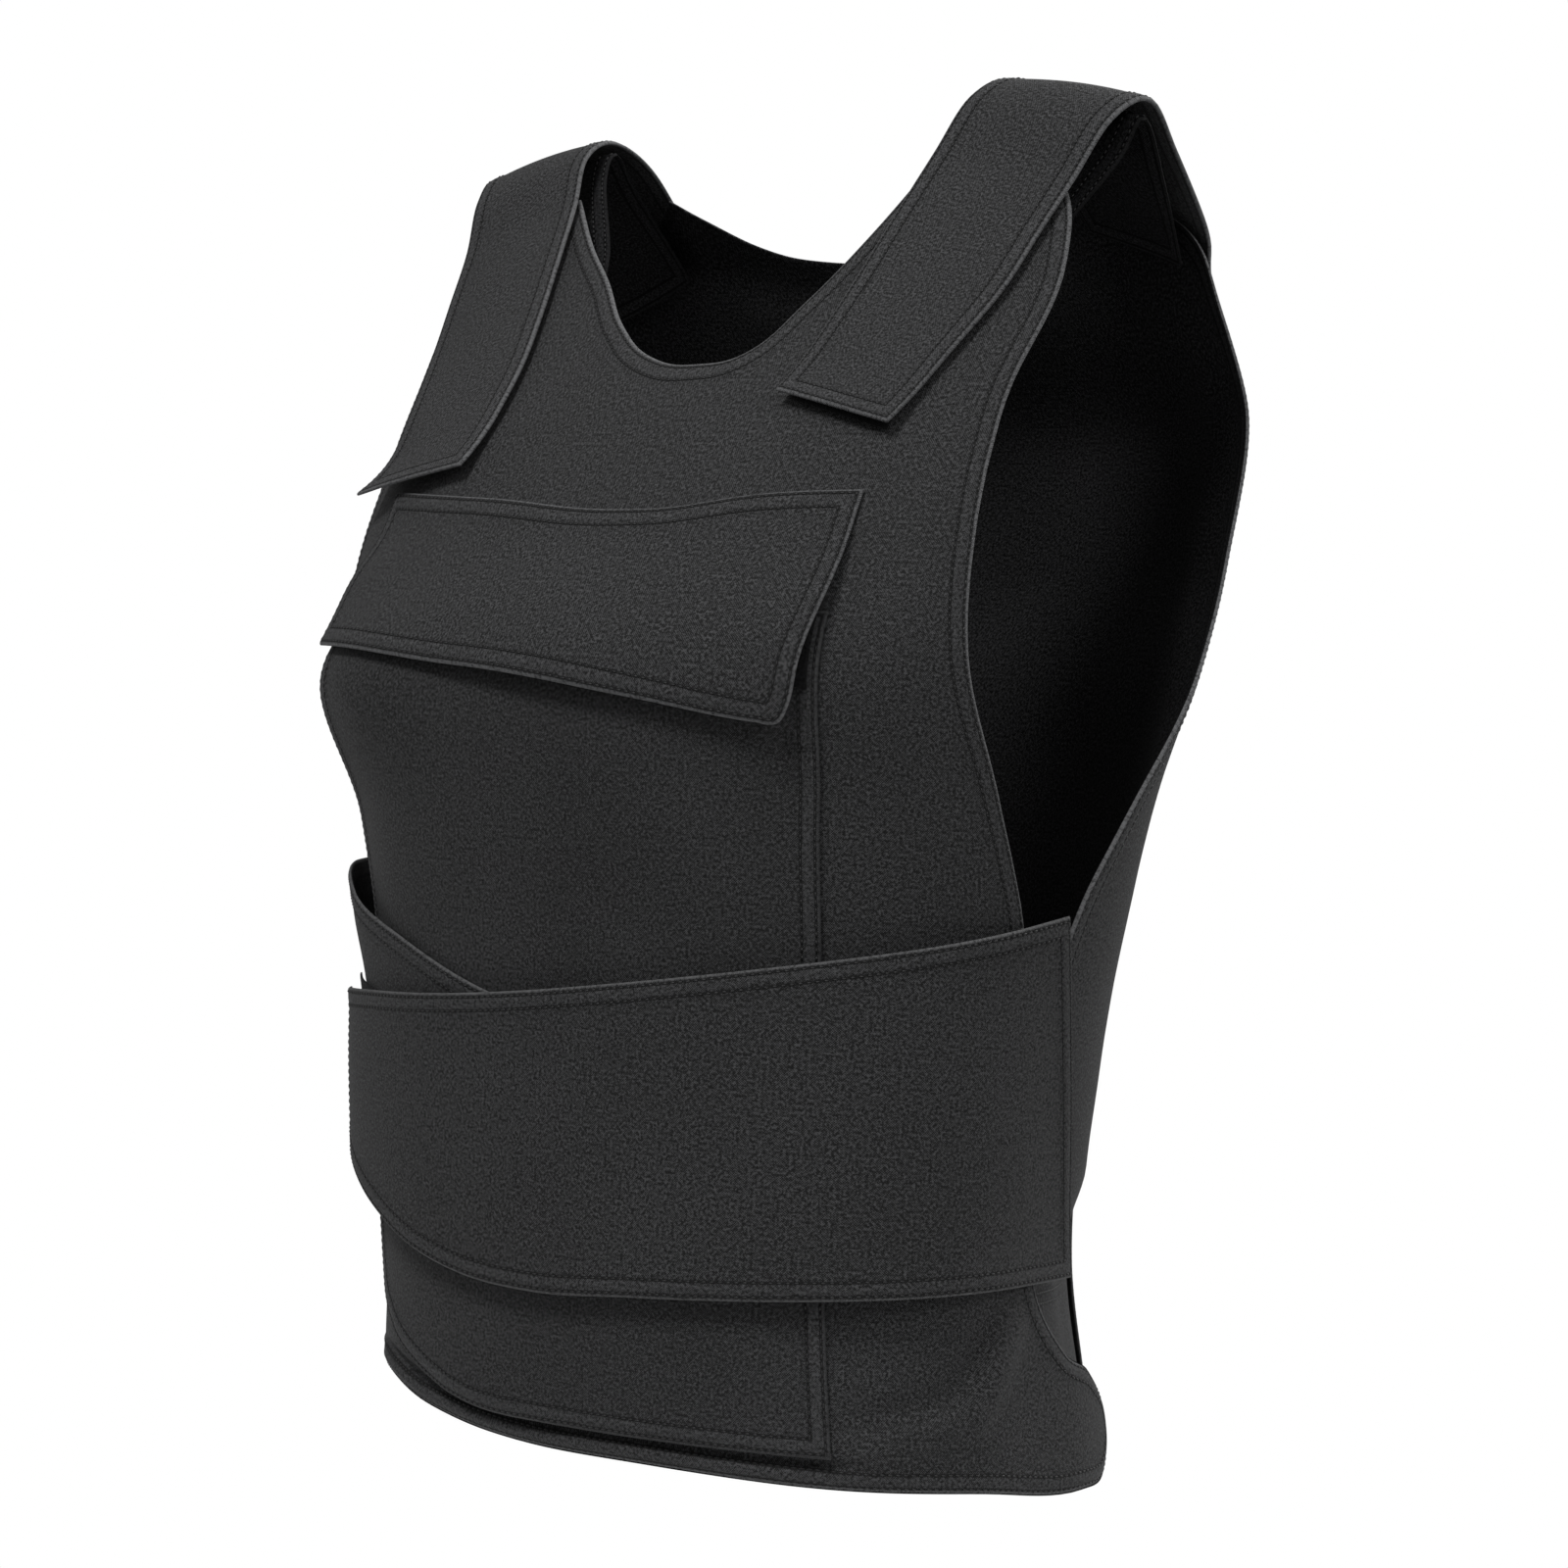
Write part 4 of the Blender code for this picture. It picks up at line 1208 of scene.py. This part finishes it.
# Room
# A round pale floor lies below the held-up vest, in a white surround. Three large soft lamps
# light the vest: in front and above, at the wearer's left, and behind.
FLOOR_HEIGHT = -0.75
FLOOR_RADIUS = 0.62
FLOOR_SEGMENTS = 96
FLOOR_WHITE = (0.90, 0.90, 0.90, 1.0)
CAMERA_TURN = math.radians(38.0)
CAMERA_RISE = math.radians(-1.0)
CAMERA_ROLL = math.radians(0.5)
CAMERA_DISTANCE = 1.7
CAMERA_TARGET = Vector((0.0, 0.0, -0.300))
PIXELS_PER_METRE = 2400
PHOTO_WIDTH = 1600
SENSOR = 36.0
# The surround's light on the vest. The camera sees it plain white.
SURROUND_GLOW = 0.38

bm = bmesh.new()
bmesh.ops.create_circle(bm, cap_ends=True, segments=FLOOR_SEGMENTS, radius=FLOOR_RADIUS)
bmesh.ops.translate(bm, verts=bm.verts, vec=(0, 0, FLOOR_HEIGHT))
floor = meshed("floor", bm)
floor_finish, _, floor_shader = new_finish("pale_floor", 0.9)
floor_shader.inputs["Base Color"].default_value = FLOOR_WHITE
floor.data.materials.append(floor_finish)

world = bpy.data.worlds.new("white_surround")
world.use_nodes = True
background = world.node_tree.nodes["Background"]
background.inputs["Color"].default_value = (1.0, 1.0, 1.0, 1.0)
to_camera = Strand(world.node_tree).make("ShaderNodeLightPath", {}, {})
wear(to_camera * (1.0 - SURROUND_GLOW) + SURROUND_GLOW, background, "Strength")
bpy.context.scene.world = world
bpy.context.scene.view_settings.view_transform = "Standard"

# Lamps: name, place, what it points at, size, power
LAMPS = [
    ("key", (0.2, -2.2, 2.6), (0.0, 0.0, -0.3), 1.0, 105.0),
    ("side", (2.6, -0.6, 1.4), (0.0, 0.0, -0.3), 1.2, 30.0),
    ("back", (0.6, 2.4, 1.6), (0.0, 0.0, -0.2), 1.2, 55.0),
]
for name, place, target, size, power in LAMPS:
    light = bpy.data.lights.new(name, "AREA")
    light.size = size
    light.energy = power
    lamp = new_object(name, light)
    lamp.location = place
    lamp.rotation_euler = (Vector(target) - Vector(place)).to_track_quat("-Z", "Y").to_euler()

camera_data = bpy.data.cameras.new("camera")
camera_data.sensor_width = SENSOR
camera_data.lens = PIXELS_PER_METRE * CAMERA_DISTANCE / PHOTO_WIDTH * SENSOR
camera = new_object("camera", camera_data)
camera.matrix_world = (Matrix.Translation(CAMERA_TARGET) @ Matrix.Rotation(CAMERA_TURN, 4, "Z")
                       @ Matrix.Rotation(math.pi / 2 - CAMERA_RISE, 4, "X")
                       @ Matrix.Rotation(-CAMERA_ROLL, 4, "Z")
                       @ Matrix.Translation((0, 0, CAMERA_DISTANCE)))
bpy.context.scene.camera = camera
